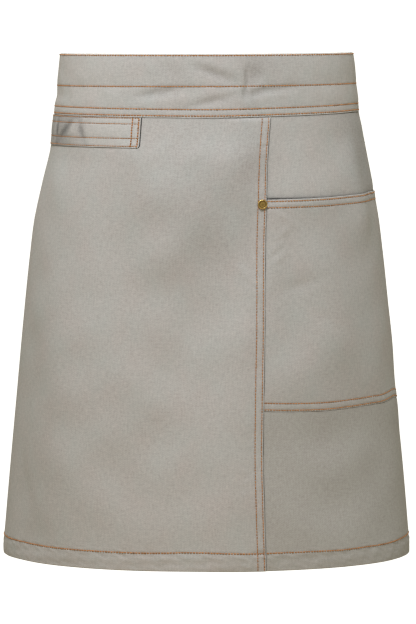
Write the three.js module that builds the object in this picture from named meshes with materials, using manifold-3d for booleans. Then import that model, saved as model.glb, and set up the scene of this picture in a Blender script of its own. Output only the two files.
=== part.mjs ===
// Waist apron in cotton twill, in the form that it has when it is worn: a folded waistband, a front panel
// lapped over a side panel and a lower panel, a patch pocket, a towel loop, a brass rivet and a plain tie.
// Millimetres. +Z is up, the front faces -Y, and +X is on the right of someone who looks at the front.
// The origin is the middle of the waist, level with the waistband's top edge.

import * as THREE from "three";
import { mergeVertices } from "three/addons/utils/BufferGeometryUtils.js";
import Module from "manifold-3d";

const { degToRad, lerp, radToDeg, smoothstep } = THREE.MathUtils;

// Driving dimensions. A drop is a distance below the top edge, and an angle is in degrees round the waist,
// 0 in front and positive towards +X.

const LENGTH = 500;
const CLOTH = 1; // one layer of twill
const GAP = 0.3; // clearance between pieces that lie on each other
const LAYER = CLOTH + GAP; // how far a piece is raised by one layer under it

const BAND = { height: 62, tuck: 10, endAngle: 131, puff: 0.7, backDip: 6 };
const BAND_STITCH_ROWS = [31.5, 54.5]; // drops where stitching draws the band's outer layer in

const SKIRT = { topAngle: 130, hemAngle: 112, foldStart: 45, topRow: 78, lowRow: 395, lastRow: 455 };
const HEM = { height: 17, sideAngle: 5 };
const LAP = { width: 12, ramp: 5, topCut: 4 };
const POCKET = { top: 141.5, bottom: 346.5, underLap: 8, puff: 1.1, mouthLift: 1.6, rise: 9 };
const LOOP = { top: 62.6, height: 31.5, endInset: 63.5, endSlant: 2, backAngle: -113, puff: 0.3 };
const RIVET = { drop: 146.5, inset: 4.2, holeRadius: 2.1, holeLength: 16, sides: 18, holeSides: 16 };
const TIE = { top: 15, height: 32, insert: 10 };

// Steps round the waist in each piece's mesh. The waistband has finer ones in front, where it is dented.
const STEPS = { front: 26, side: 20, pocket: 18, loop: 30, tie: 18, bandFront: 28, bandSide: 11 };
const BAND_FRONT_ANGLE = 60;

const TWILL = { color: 0xa9a59c, roughness: 0.9, metalness: 0 };
const SHADE_TWILL = { color: 0x98948a, roughness: 0.9, metalness: 0 };
const BRASS = { color: 0x9a7a3c, roughness: 0.35, metalness: 1 };

// The skirt's outer face, a row for each level: half its width, and its depth before and behind the middle.
const SECTIONS = [
  { drop: 0, halfWidth: 144.8, front: 104, back: 96 },
  { drop: 62, halfWidth: 151.8, front: 110.5, back: 102 },
  { drop: 80, halfWidth: 155.8, front: 113.8, back: 106 },
  { drop: 110, halfWidth: 161.4, front: 119, back: 112.5 },
  { drop: 155, halfWidth: 170.3, front: 126, back: 121.5 },
  { drop: 200, halfWidth: 176.7, front: 131, back: 127.5 },
  { drop: 260, halfWidth: 183, front: 136.5, back: 132.5 },
  { drop: 350, halfWidth: 191.2, front: 143.5, back: 138.5 },
  { drop: 500, halfWidth: 204.4, front: 153.5, back: 147 },
];

// The front panel's lapped edge: its distance to the right of the middle at each level.
const SEAM = [
  { drop: 0, x: 63 },
  { drop: 62, x: 62.7 },
  { drop: 141, x: 59.6 },
  { drop: 346, x: 56.2 },
  { drop: 412, x: 56.1 },
  { drop: 500, x: 59 },
];

// Soft drag folds of the skirt: ridges, or valleys where the height is negative, from one place to another.
const FOLDS = [
  { fromAngle: 16, fromDrop: 110, toAngle: -26, toDrop: 225, width: 30, height: 2.2 },
  { fromAngle: 12, fromDrop: 165, toAngle: -16, toDrop: 270, width: 26, height: -2.4 },
  { fromAngle: -4, fromDrop: 250, toAngle: -22, toDrop: 440, width: 24, height: -2 },
  { fromAngle: 4, fromDrop: 300, toAngle: 2, toDrop: 470, width: 30, height: 1.6 },
  { fromAngle: -46, fromDrop: 130, toAngle: -38, toDrop: 420, width: 26, height: 1.6 },
  { fromAngle: 52, fromDrop: 190, toAngle: 58, toDrop: 330, width: 30, height: 1.2 },
  { fromAngle: -100, fromDrop: 76, toAngle: -78, toDrop: 120, width: 40, height: -3 },
];
const FOLD_MM_PER_DEGREE = 3; // turns a fold's angles into a length along the cloth

// Dents of the waistband: places that the cloth is pushed in, each a long spot that leans by a slope.
const BAND_DENTS = [
  { angle: -18, drop: 39, halfLength: 26, halfWidth: 5, slope: -0.12, depth: 1.1 },
  { angle: 3, drop: 20, halfLength: 24, halfWidth: 6, slope: 0.35, depth: 1 },
  { angle: 15, drop: 36, halfLength: 8, halfWidth: 16, slope: 0, depth: 1.2 },
  { angle: 5, drop: 46, halfLength: 26, halfWidth: 4, slope: -0.2, depth: 0.9 },
];

// Gathers of the towel loop where it turns round the hip: ridges that run up and down the strap.
const LOOP_GATHERS = [
  { angle: -78, halfWidth: 2.6, height: 0.9 },
  { angle: -68, halfWidth: 2.8, height: 1.1 },
  { angle: -55, halfWidth: 3.2, height: 1 },
];

// The rivet from its cap inside the apron to its rim outside: radius, and height off the front panel.
const RIVET_PROFILE = [
  { radius: 0, height: -4.7 },
  { radius: 3.8, height: -4.7 },
  { radius: 4.2, height: -4.4 },
  { radius: 4.2, height: -3.9 },
  { radius: 1.7, height: -3.9 },
  { radius: 1.7, height: 0.35 },
  { radius: 4.7, height: 0.35 },
  { radius: 5.1, height: 0.7 },
  { radius: 5.1, height: 1.2 },
  { radius: 4.6, height: 1.7 },
  { radius: 3.9, height: 1.7 },
  { radius: 3.4, height: 1.2 },
  { radius: 2.2, height: 1.25 },
  { radius: 1.2, height: 1.55 },
  { radius: 0, height: 1.65 },
];

// Tables read as smooth curves of the drop.

function smoothTable(rows, columns) {
  const drops = rows.map((row) => row.drop);
  const values = rows.flatMap((row) => columns.map((column) => row[column]));
  return new THREE.CubicInterpolant(drops, values, columns.length);
}

const sectionCurve = smoothTable(SECTIONS, ["halfWidth", "front", "back"]);
const seamCurve = smoothTable(SEAM, ["x"]);

function section(drop) {
  const [halfWidth, front, back] = sectionCurve.evaluate(drop);
  return { halfWidth, front, back };
}

// The skirt's surface

function foldHeight(angle, drop) {
  let sum = 0;
  for (const fold of FOLDS) {
    const start = new THREE.Vector2(fold.fromAngle * FOLD_MM_PER_DEGREE, fold.fromDrop);
    const along = new THREE.Vector2(fold.toAngle * FOLD_MM_PER_DEGREE, fold.toDrop).sub(start);
    const spot = new THREE.Vector2(angle * FOLD_MM_PER_DEGREE, drop).sub(start);
    const reach = along.length();
    const share = spot.dot(along) / reach ** 2;
    const aside = spot.cross(along) / reach;
    const fade = smoothstep(share, -0.25, 0.25) * (1 - smoothstep(share, 0.75, 1.25));
    sum += fold.height * fade * Math.exp(-((aside / fold.width) ** 2));
  }
  return sum * smoothstep(drop, BAND.height, SKIRT.foldStart + BAND.height);
}

// The ellipse at the drop, moved out along its own normal. Behind the hips the waist sits a little lower.
function place(angle, drop, height) {
  const { halfWidth, front, back } = section(drop);
  const turn = degToRad(angle);
  const depth = Math.abs(angle) < 90 ? front : back;
  const outward = new THREE.Vector3(Math.sin(turn) / halfWidth, -Math.cos(turn) / depth, 0).normalize();
  const dip = BAND.backDip * smoothstep(Math.abs(angle), 90, 150) * (1 - drop / LENGTH);
  const foot = new THREE.Vector3(halfWidth * Math.sin(turn), -depth * Math.cos(turn), -drop - dip);
  return foot.addScaledVector(outward, height + foldHeight(angle, drop));
}

// The true normal of the skirt's face, which leans up where the skirt widens.
function normalAt(angle, drop) {
  const step = 1;
  const across = place(angle + step, drop, 0).sub(place(angle - step, drop, 0));
  const down = place(angle, drop + step, 0).sub(place(angle, drop - step, 0));
  return down.cross(across).normalize();
}

// The angle of a line that runs a set distance inside the lapped edge, towards the middle.
const seamAngle = (drop, inset) => {
  const x = seamCurve.evaluate(drop)[0] - inset;
  return radToDeg(Math.asin(x / section(drop).halfWidth));
};

const skirtEnd = (drop) => lerp(SKIRT.topAngle, SKIRT.hemAngle, drop / LENGTH);

// Sheets of cloth as solids

// A thin box whose columns, rows and two faces are carried to their places. Face 0 is inside, face 1 outside.
function sheetGeometry(columns, rows, placeOf) {
  const geometry = new THREE.BoxGeometry(columns, rows, 1, columns, rows, 1);
  geometry.deleteAttribute("normal");
  geometry.deleteAttribute("uv");
  const position = geometry.getAttribute("position");
  for (let i = 0; i < position.count; i++) {
    const column = Math.round(position.getX(i) + columns / 2);
    const row = Math.round(rows / 2 - position.getY(i));
    const face = Math.round(position.getZ(i) + 0.5);
    position.setXYZ(i, ...placeOf(column, row, face).toArray());
  }
  return mergeVertices(geometry);
}

// Evenly spaced numbers from one value to another, both included.
const evenly = (count, from, to) => Array.from({ length: count + 1 }, (_, i) => lerp(from, to, i / count));

// Columns that lie evenly between two edges, each edge an angle that depends on the drop.
const columnsBetween = (count, from, to) =>
  evenly(count, 0, 1).map((share) => (drop) => lerp(from(drop), to(drop), share));

// How far the front panel is raised at its lap: over the layer under it, and over the pocket too.
function lapRise(drop) {
  const overPanel = smoothstep(drop, BAND.height, BAND.height + LAP.topCut);
  const pocketStart = smoothstep(drop, POCKET.top - POCKET.rise, POCKET.top - GAP);
  const pocketEnd = 1 - smoothstep(drop, POCKET.bottom + GAP, POCKET.bottom + POCKET.rise);
  return LAYER * (overPanel + pocketStart * pocketEnd);
}

// One panel: the cloth, with a second layer inside where the hem and the side hem are turned in.
// A lap column is raised over what it lies on, and its hem is turned in behind that.
function panelGeometry({ columns, rows, sideHemColumns, lapStart = Infinity }) {
  return sheetGeometry(columns.length - 1, rows.length - 1, (column, row, face) => {
    const drop = rows[row];
    const inLap = column >= lapStart;
    const inHem = drop > LENGTH - HEM.height && !inLap;
    const inSideHem = sideHemColumns.includes(column) && drop > BAND.height;
    const thickness = inHem || inSideHem ? 2 * CLOTH : CLOTH;
    const rise = inLap ? lapRise(drop) : 0;
    return place(columns[column](drop), drop, rise - (1 - face) * thickness);
  });
}

const HEM_STEP = 0.6; // run over which the cloth thickens at a turned hem
const hemRows = [LENGTH - HEM.height - HEM_STEP, LENGTH - HEM.height + HEM_STEP, LENGTH];
const bandRows = [BAND.height - BAND.tuck, BAND.height, BAND.height + LAP.topCut];
const HEM_STEP_ANGLE = 0.3;

function frontPanel() {
  const backEdge = (drop) => -skirtEnd(drop);
  const hemEdge = (drop) => backEdge(drop) + HEM.sideAngle;
  const hemInner = (drop) => hemEdge(drop) + HEM_STEP_ANGLE;
  const lapFoot = (drop) => seamAngle(drop, LAP.width + LAP.ramp);
  const lapInsets = [LAP.width + GAP, LAP.width / 2, 0];
  const columns = [
    backEdge,
    hemEdge,
    ...columnsBetween(STEPS.front, hemInner, lapFoot),
    ...lapInsets.map((inset) => (drop) => seamAngle(drop, inset)),
  ];
  const lapStart = columns.length - lapInsets.length;
  const rows = [
    ...bandRows,
    ...evenly(4, SKIRT.topRow, POCKET.top - POCKET.rise),
    POCKET.top - GAP,
    ...evenly(7, POCKET.top + POCKET.rise, POCKET.bottom + GAP),
    POCKET.bottom + POCKET.rise,
    ...evenly(2, SKIRT.lowRow, SKIRT.lastRow),
    ...hemRows,
  ];
  return panelGeometry({ columns, rows, sideHemColumns: [0, 1], lapStart });
}

// Columns of a panel on the pocket's side, from its own left edge to the back edge with its side hem.
function sideColumns(leftEdge) {
  const hemEdge = (drop) => skirtEnd(drop) - HEM.sideAngle;
  const hemInner = (drop) => hemEdge(drop) - HEM_STEP_ANGLE;
  return [...columnsBetween(STEPS.side, leftEdge, hemInner), hemEdge, skirtEnd];
}

// The cloth behind the pocket. Its tucked corner is cut away, so that only one layer goes into the waistband.
function sidePanel() {
  const underLap = (drop) => {
    const cut = smoothstep(drop, BAND.height + LAP.topCut, BAND.height + 2 * LAP.topCut);
    return seamAngle(drop, lerp(-GAP, LAP.width, cut));
  };
  const columns = sideColumns(underLap);
  const hemColumns = [columns.length - 2, columns.length - 1];
  const bottom = POCKET.bottom - LAP.width - GAP;
  const rows = [...bandRows, BAND.height + 2 * LAP.topCut, ...evenly(9, SKIRT.topRow, bottom)];
  return panelGeometry({ columns, rows, sideHemColumns: hemColumns });
}

function lowerPanel() {
  const columns = sideColumns((drop) => seamAngle(drop, LAP.width));
  const hemColumns = [columns.length - 2, columns.length - 1];
  const rows = [...evenly(5, POCKET.bottom - LAP.width, SKIRT.lastRow), ...hemRows];
  return panelGeometry({ columns, rows, sideHemColumns: hemColumns });
}

// The pocket's front. It is flat along its sewn edges, swells between them, and its mouth is a little open.
function patchPocket() {
  const mouthStart = (drop) => seamAngle(drop, -1);
  const underLap = (drop) => seamAngle(drop, POCKET.underLap);
  const columns = [underLap, ...columnsBetween(STEPS.pocket, mouthStart, skirtEnd)];
  const downShares = [0, 0.05, ...evenly(8, 0.12, 0.95), 1];
  return sheetGeometry(columns.length - 1, downShares.length - 1, (column, row, face) => {
    const down = downShares[row];
    const drop = lerp(POCKET.top, POCKET.bottom, down);
    const across = Math.max(0, column - 1) / STEPS.pocket;
    const arch = Math.sin(Math.PI * Math.sqrt(across));
    const swell = POCKET.puff * Math.sin(Math.PI * down) + POCKET.mouthLift * (1 - down) ** 6;
    return place(columns[column](drop), drop, GAP + arch * swell + face * CLOTH);
  });
}

// The waistband is one strip folded over at the top. Each station is a place on the strip's middle line, and
// the way that its outer face looks: from the inside's lower edge, up, over the fold, and down the outside.
function bandStations() {
  const outer = GAP + CLOTH / 2;
  const inner = -CLOTH - GAP - CLOTH / 2;
  const middle = (outer + inner) / 2;
  const radius = (outer - inner) / 2;
  const foldDrop = radius + CLOTH / 2;
  const insideDrops = [BAND.height, BAND.height - BAND.tuck, BAND_STITCH_ROWS[0], 2 * foldDrop];
  const insideUp = insideDrops.map((drop) => ({ height: inner, drop, out: -1, up: 0 }));
  const overTop = evenly(3, Math.PI, 0).map((turn) => ({
    height: middle + radius * Math.cos(turn),
    drop: foldDrop - radius * Math.sin(turn),
    out: Math.cos(turn),
    up: Math.sin(turn),
  }));
  const [midRow, lowRow] = BAND_STITCH_ROWS;
  const outsideDrops = [...evenly(4, 0, midRow).slice(1), ...evenly(4, midRow, lowRow).slice(1), BAND.height];
  const outsideDown = outsideDrops.map((drop) => ({ height: outer + bandPuff(drop), drop, out: 1, up: 0 }));
  return [...insideUp, ...overTop, ...outsideDown];
}

// The outer layer swells between the fold and each row of stitching, as half a sine wave.
function bandPuff(drop) {
  const rows = [0, ...BAND_STITCH_ROWS, BAND.height];
  const next = rows.findIndex((row) => row >= drop);
  if (next <= 0) return 0;
  const share = (drop - rows[next - 1]) / (rows[next] - rows[next - 1]);
  const reach = Math.min(1, (rows[next] - rows[next - 1]) / BAND_STITCH_ROWS[0]);
  return BAND.puff * reach * Math.sin(Math.PI * share);
}

// A dent pushes the outer layer in, never as far as the layer behind it.
function bandDent(angle, drop) {
  let sum = 0;
  for (const dent of BAND_DENTS) {
    const along = (angle - dent.angle) * FOLD_MM_PER_DEGREE;
    const aside = drop - dent.drop - dent.slope * along;
    sum += dent.depth * Math.exp(-((along / dent.halfLength) ** 2) - (aside / dent.halfWidth) ** 2);
  }
  return Math.min(sum, BAND.puff + CLOTH / 2);
}

// Columns where the tie lies in the folded end of the waistband.
const tuckAngles = evenly(2, BAND.endAngle - TIE.insert, BAND.endAngle);

function waistband() {
  const stations = bandStations();
  const sideAngles = [...evenly(STEPS.bandSide, BAND_FRONT_ANGLE, tuckAngles[0]), ...tuckAngles.slice(1)];
  const angles = [
    ...sideAngles.map((angle) => -angle).reverse(),
    ...evenly(STEPS.bandFront, -BAND_FRONT_ANGLE, BAND_FRONT_ANGLE).slice(1, -1),
    ...sideAngles,
  ];
  return sheetGeometry(angles.length - 1, stations.length - 1, (column, row, face) => {
    const { height, drop, out, up } = stations[row];
    const angle = angles[column];
    const aside = (face - 0.5) * CLOTH;
    const pushed = out === 1 && drop < BAND.height - BAND.tuck ? bandDent(angle, drop) : 0;
    return place(angle, drop - up * aside, height + out * aside - pushed);
  });
}

// A doubled strap, sewn down at both ends, that lies close round the hip under the waistband.
function towelLoop() {
  const downShares = [0, 0.06, 0.25, 0.5, 0.75, 0.94, 1];
  return sheetGeometry(STEPS.loop, downShares.length - 1, (column, row, face) => {
    const down = downShares[row];
    const along = column / STEPS.loop;
    const drop = LOOP.top + down * LOOP.height;
    const endX = -LOOP.endInset - LOOP.endSlant * down;
    const endAngle = radToDeg(Math.asin(endX / section(drop).halfWidth));
    const angle = lerp(LOOP.backAngle, endAngle, along);
    const across = Math.sin(Math.PI * down);
    const slack = LOOP.puff * Math.sin(Math.PI * along);
    const gathers = LOOP_GATHERS.reduce(
      (sum, gather) => sum + gather.height * Math.exp(-(((angle - gather.angle) / gather.halfWidth) ** 2)),
      0,
    );
    return place(angle, drop, GAP + (slack + gathers) * across + face * 2 * CLOTH);
  });
}

// The tie goes into the folded ends of the waistband and takes the plain way across the back.
function backTie() {
  const angles = [
    ...tuckAngles,
    ...evenly(STEPS.tie, BAND.endAngle, 360 - BAND.endAngle).slice(1, -1),
    ...tuckAngles.map((angle) => 360 - angle).reverse(),
  ];
  return sheetGeometry(angles.length - 1, 1, (column, row, face) => {
    const angle = angles[column];
    const wrapped = angle > 180 ? angle - 360 : angle;
    return place(wrapped, TIE.top + row * TIE.height, (face - 1) * CLOTH);
  });
}

function rivetGeometry() {
  const outline = RIVET_PROFILE.map(({ radius, height }) => new THREE.Vector2(radius, height));
  return new THREE.LatheGeometry(outline, RIVET.sides);
}

// Where the rivet stands: on the lap's outer face, square to it.
const rivetFrame = (() => {
  const angle = seamAngle(RIVET.drop, RIVET.inset);
  const spot = place(angle, RIVET.drop, lapRise(RIVET.drop));
  const turn = new THREE.Quaternion().setFromUnitVectors(
    new THREE.Vector3(0, 1, 0),
    normalAt(angle, RIVET.drop),
  );
  return { spot, turn };
})();

// Holes for the rivet

const wasm = await Module();
wasm.setup();

function solidOf(geometry) {
  const bare = geometry.clone();
  bare.deleteAttribute("normal");
  bare.deleteAttribute("uv");
  const merged = mergeVertices(bare);
  return new wasm.Manifold(
    new wasm.Mesh({
      numProp: 3,
      vertProperties: merged.getAttribute("position").array,
      triVerts: new Uint32Array(merged.index.array),
    }),
  );
}

function withRivetHole(geometry) {
  const { holeRadius, holeLength, holeSides } = RIVET;
  const punch = new THREE.CylinderGeometry(holeRadius, holeRadius, holeLength, holeSides);
  punch.applyQuaternion(rivetFrame.turn).translate(...rivetFrame.spot.toArray());
  const mesh = solidOf(geometry).subtract(solidOf(punch)).getMesh();
  const cut = new THREE.BufferGeometry();
  cut.setAttribute("position", new THREE.BufferAttribute(mesh.vertProperties, 3));
  cut.setIndex(new THREE.BufferAttribute(mesh.triVerts, 1));
  return cut;
}

// The apron

const apron = new THREE.Group();
apron.name = "waist_apron";

function addPiece(name, geometry, finish) {
  geometry.computeVertexNormals();
  const mesh = new THREE.Mesh(geometry, new THREE.MeshStandardMaterial(finish));
  mesh.name = name;
  apron.add(mesh);
  return mesh;
}

addPiece("waistband", waistband(), TWILL);
addPiece("front_panel", withRivetHole(frontPanel()), TWILL);
addPiece("side_panel", withRivetHole(sidePanel()), TWILL);
addPiece("lower_panel", lowerPanel(), SHADE_TWILL);
addPiece("patch_pocket", withRivetHole(patchPocket()), TWILL);
addPiece("towel_loop", towelLoop(), TWILL);
addPiece("back_tie", backTie(), TWILL);

const rivet = addPiece("rivet", rivetGeometry(), BRASS);
rivet.position.copy(rivetFrame.spot);
rivet.quaternion.copy(rivetFrame.turn);

export default apron;
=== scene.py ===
"""A waist apron in cotton twill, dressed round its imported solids.

Lengths are in millimetres until a mesh is made. +Z is up, the front faces -Y and +X is on the viewer's
right. A drop is a distance below the waistband's top edge. An angle is in degrees round the waist, 0 in
front and positive towards +X. A height is a distance off the skirt's own outer face.

In the formulas, the factor of a bell curve, an arch or a soft step is its height, or its strength where it
is a tone. A bell curve's last number is its half width. The last numbers of a step, an arch or a window are
where it starts and ends.
"""

import logging
import math
from collections.abc import Callable, Mapping, Sequence
from dataclasses import dataclass
from enum import Enum
from typing import Any, NamedTuple

import bpy
import numpy as np
import numpy.typing as npt
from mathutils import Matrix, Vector


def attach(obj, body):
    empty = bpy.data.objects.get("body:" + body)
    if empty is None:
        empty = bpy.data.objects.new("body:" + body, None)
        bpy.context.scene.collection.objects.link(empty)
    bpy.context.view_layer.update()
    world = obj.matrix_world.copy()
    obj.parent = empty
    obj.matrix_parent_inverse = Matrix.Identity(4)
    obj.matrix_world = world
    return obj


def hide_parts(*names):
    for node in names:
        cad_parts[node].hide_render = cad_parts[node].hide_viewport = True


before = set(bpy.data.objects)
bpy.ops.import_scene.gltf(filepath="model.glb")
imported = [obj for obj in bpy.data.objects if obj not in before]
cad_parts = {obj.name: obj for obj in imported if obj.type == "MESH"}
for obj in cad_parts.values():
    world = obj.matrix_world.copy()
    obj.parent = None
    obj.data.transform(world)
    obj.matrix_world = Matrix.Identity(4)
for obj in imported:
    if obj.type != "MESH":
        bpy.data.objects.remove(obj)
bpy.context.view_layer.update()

LOG = logging.getLogger("apron")
Grid = npt.NDArray[np.float64]
Index = npt.NDArray[np.int64]
AngleAt = Callable[[Grid], Grid]  # an angle for each drop
Node = bpy.types.Node
Socket = bpy.types.NodeSocket
Inputs = Mapping[str | int, Any]  # a socket or a value for each input
NOTHING: Inputs = {}

MM = 0.001  # one millimetre in metres
CLOTH = 1.0  # one layer of twill
GAP = 0.3  # clearance between pieces that lie on each other
LAYER = CLOTH + GAP  # how far a piece is raised by one layer under it
EDGE_WEAR = 1.4  # how far from an edge the cloth is rubbed
DARKEST = 1.4  # the strongest painted shadow line along a seam
LAP_ROWS = (1.6, 8.0)  # rows of stitching, from the lapped edge
POCKET_SEAM_ROWS = (1.7, 8.2)  # rows of stitching, from the pocket's bottom edge
SIDE_ROW = 9.0  # the row of stitching that holds a side hem, from the back edge
BODY = "root"


class Slot(Enum):
    """The record's material slots."""

    TWILL = "twill"
    SHADE_TWILL = "shade_twill"
    BRASS = "brass"
    THREAD = "thread"


class Held(Enum):
    """How a sheet of cloth is held."""

    HUNG = "hung"
    LAID = "laid"
    FOLDED = "folded"
    STRETCHED = "stretched"


class Section(NamedTuple):
    """The skirt's outer face at a drop: half its width, and its depth before and behind the middle."""

    drop: float
    half_width: float
    front: float
    back: float


class SeamPoint(NamedTuple):
    """How far the front panel's lapped edge is to the right of the middle at a drop."""

    drop: float
    x: float


class Hip(NamedTuple):
    """A measure of the left and of the right hip at a drop."""

    drop: float
    left: float
    right: float


class Fold(NamedTuple):
    """A soft ridge of the skirt, or a valley where its height is negative, from one place to another."""

    from_angle: float
    from_drop: float
    to_angle: float
    to_drop: float
    width: float
    height: float


class Dent(NamedTuple):
    """A long spot that cloth is pushed in by a depth, or out where that is negative. It leans by a slope."""

    angle: float
    drop: float
    half_length: float
    half_width: float
    slope: float
    depth: float


class Gather(NamedTuple):
    """A ridge down a strap, or a valley where its height is negative. It leans by degrees a millimetre."""

    angle: float
    half_width: float
    height: float
    lean: float


SECTIONS = (
    Section(0, 144.8, 104, 96),
    Section(62, 151.8, 110.5, 102),
    Section(80, 155.8, 113.8, 106),
    Section(110, 161.4, 119, 112.5),
    Section(155, 170.3, 126, 121.5),
    Section(200, 176.7, 131, 127.5),
    Section(260, 183, 136.5, 132.5),
    Section(350, 191.2, 143.5, 138.5),
    Section(500, 204.4, 153.5, 147),
)

SEAM = (
    SeamPoint(0, 63),
    SeamPoint(62, 61.9),
    SeamPoint(95, 59.7),
    SeamPoint(125, 58.8),
    SeamPoint(160, 58.3),
    SeamPoint(260, 56.6),
    SeamPoint(346, 55.1),
    SeamPoint(412, 55.1),
    SeamPoint(500, 57.9),
)

# How far the cloth stands off each hip. The strap draws the left one in.
HIP_EASE = (
    Hip(0, 0, 0.5),
    Hip(14, -0.7, 0.5),
    Hip(30, -0.1, 0.5),
    Hip(43, -1.5, 0.4),
    Hip(50, -0.4, 0.4),
    Hip(58, -0.4, -0.2),
    Hip(66, -1.4, -0.5),
    Hip(78, -2.6, 0.0),
    Hip(90, -3.2, 0.3),
    Hip(97, -3.3, 0.4),
    Hip(108, -2.2, 0.5),
    Hip(128, -1.0, 0.4),
    Hip(136, -0.8, 0.1),
    Hip(142, -0.6, -0.8),
    Hip(149, -0.3, -1.4),
    Hip(168, 0.4, -1.3),
    Hip(200, 0.1, -1.7),
    Hip(250, 0.1, -1.5),
    Hip(290, 0.2, -0.6),
    Hip(335, 0.3, -1.1),
    Hip(352, 0.4, -0.1),
    Hip(385, 0.6, 0.9),
    Hip(420, 0.8, 1.4),
    Hip(500, 1.0, 1.3),
)

# How much higher the cloth hangs at each hip.
HIP_RISE = (
    Hip(0, 0, 0.9),
    Hip(31, -0.5, 1.6),
    Hip(54, 1.5, 4.1),
    Hip(62, 1.0, 4.0),
    Hip(92, 0.7, 4.0),
    Hip(145, 0.0, 4.6),
    Hip(200, 0.0, 3.4),
    Hip(300, 0.0, 0.6),
    Hip(345, 0.0, -0.2),
    Hip(500, -0.9, -1.1),
)

FOLDS = (
    Fold(22, 75, -18, 206, 23, 3.4),
    Fold(21, 81, -13, 272, 40, -4.4),
    Fold(1, 223, -23, 426, 21, -4.2),
    Fold(11, 368, -3, 520, 33, 4.1),
    Fold(-51, 239, -42, 453, 40, 4.4),
    Fold(-30, 135, -27, 259, 31, -3.6),
    Fold(-74, 298, -63, 520, 36, -2.0),
    Fold(11, 182, 0, 335, 17, -3.0),
    Fold(-14, 326, -21, 413, 16, 2.6),
    Fold(20, 75, -25, 157, 31, 2.4),
    Fold(51, 345, 2, 405, 29, -2.1),
    Fold(-63, 340, -66, 426, 21, 1.8),
    Fold(15, 149, 16, 220, 12, -2.6),
    Fold(37, 246, 66, 322, 33, 2.8),
    Fold(22, 129, 63, 131, 24, 2.1),
    Fold(24, 174, 29, 284, 29, -3.8),
    Fold(50, 266, 62, 445, 31, -3.0),
    Fold(49, 342, 38, 445, 40, -2.4),
    Fold(63, 85, 63, 185, 24, 3.2),
    Fold(-28, 100, 12, 100, 60, 3.0),
)
MM_PER_DEGREE = 3.0  # turns an angle of a fold or a dent into a length along the cloth

BAND_DENTS = (
    Dent(-18, 38, 26, 4.5, -0.12, 1.9),
    Dent(3, 19, 20, 5, 0.28, 1.9),
    Dent(15.4, 25, 2.2, 9, 0.0, 1.4),
    Dent(18.5, 20, 13, 11, 0.0, 1.6),
    Dent(14.6, 39, 3, 6, 0.0, 1.5),
    Dent(19.5, 38.4, 11, 3.2, -0.37, 1.4),
    Dent(-13, 18, 22, 9, 0.1, 0.9),
    Dent(25, 36, 28, 3.5, -0.08, 1.3),
    Dent(2, 46, 26, 4, -0.2, 1.5),
)

FRONT_DENTS = (
    Dent(13, 216, 7, 3.0, 0.7, -0.6),
    Dent(11, 208, 6, 3.0, 0.6, -0.5),
    Dent(11, 409, 4, 2.2, -0.6, 0.6),
    Dent(10.5, 420, 4, 2.2, -0.6, 0.6),
    Dent(-64.6, 424, 24, 14, 1.5, 0.4),
    Dent(-12, 84, 16, 5, -0.9, -0.6),
    Dent(-3, 96, 16, 6, -0.9, -0.6),
)

# Patches of painted shade on the band, the front panel and the side panel, as dents of the tone, and patches
# of painted light where the depth is negative.
BAND_PAINTED_LIGHT_AND_SHADE = (
    Dent(21, 9, 26, 11, 0.0, 0.09),
    Dent(16.5, 46, 11, 13, 0.0, 0.11),
    Dent(-50, 30, 60, 22, 0.0, -0.04),
    Dent(60, 36, 40, 22, 0.0, -0.05),
)
FRONT_PAINTED_SHADE = (
    Dent(-5, 110, 62, 62, 0.0, 0.1),
    Dent(3, 185, 40, 40, 0.0, 0.06),
    Dent(15, 96, 16, 40, 0.0, 0.12),
)
SIDE_PAINTED_LIGHT_AND_SHADE = (Dent(74, 112, 44, 62, 0.0, 0.3), Dent(46, 100, 40, 40, 0.0, -0.07))

POCKET_DENTS = (
    Dent(27, 160, 8, 3.2, 0.8, -0.5),
    Dent(26, 173, 8, 3.2, -0.7, -0.7),
    Dent(23.5, 187, 6, 2.8, -0.6, -0.6),
    Dent(24, 199, 7, 3.0, -0.7, -0.7),
    Dent(31, 226, 22, 6, -0.25, 0.7),
    Dent(40, 260, 20, 8, 0.5, 0.5),
)

# How much lower the cloth hangs at the pocket's mouth, at its bottom seam and at the hem, as dents.
SAGS = (
    Dent(40, 146, 80, 40, 0.0, 1.2),
    Dent(37, 341, 34, 45, 0.0, 1.2),
    Dent(17, 343, 12, 30, 0.0, -0.8),
    Dent(60, 343, 14, 30, 0.0, -0.7),
    Dent(77, 346, 30, 32, 0.0, -4.2),
    Dent(-2.5, 500, 30, 40, 0.0, -0.7),
)

LOOP_GATHERS = (
    Gather(-74.6, 0.9, 0.9, 0.0),
    Gather(-71.6, 1.0, -0.4, 0.0),
    Gather(-64, 2.3, -0.6, -0.47),
    Gather(-57.5, 2.2, 1.4, -0.1),
    Gather(-51.6, 1.3, -0.5, 0.22),
)


def smoothstep(value: Grid, low: float, high: float) -> Grid:
    """A soft step: 0 up to low, 1 from high on, and 3s^2 - 2s^3 of the share s between them.

    Args:
        value: Numbers to read the step at.
        low: Where the step starts.
        high: Where the step ends.

    Returns:
        Numbers from 0 to 1, in the shape of value.
    """
    share = np.clip((value - low) / (high - low), 0.0, 1.0)
    return share * share * (3.0 - 2.0 * share)


def window(value: Grid, start: float, rise: float, fade: float, end: float) -> Grid:
    """A soft window: a step up from start to rise, times a step down from fade to end."""
    return smoothstep(value, start, rise) * (1 - smoothstep(value, fade, end))


def bell(value: Grid, width: float) -> Grid:
    """A bell curve, e to the power of minus (value / width) squared."""
    return np.exp(-((value / width) ** 2))


def lerp(start: Any, end: Any, share: Any) -> Any:
    """The number at a share of the way from start to end."""
    return start + (end - start) * share


def arch(value: Grid, low: float, high: float) -> Grid:
    """Half a sine wave between low and high, and 0 outside them."""
    return np.sin(np.pi * np.clip((value - low) / (high - low), 0.0, 1.0))


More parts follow.
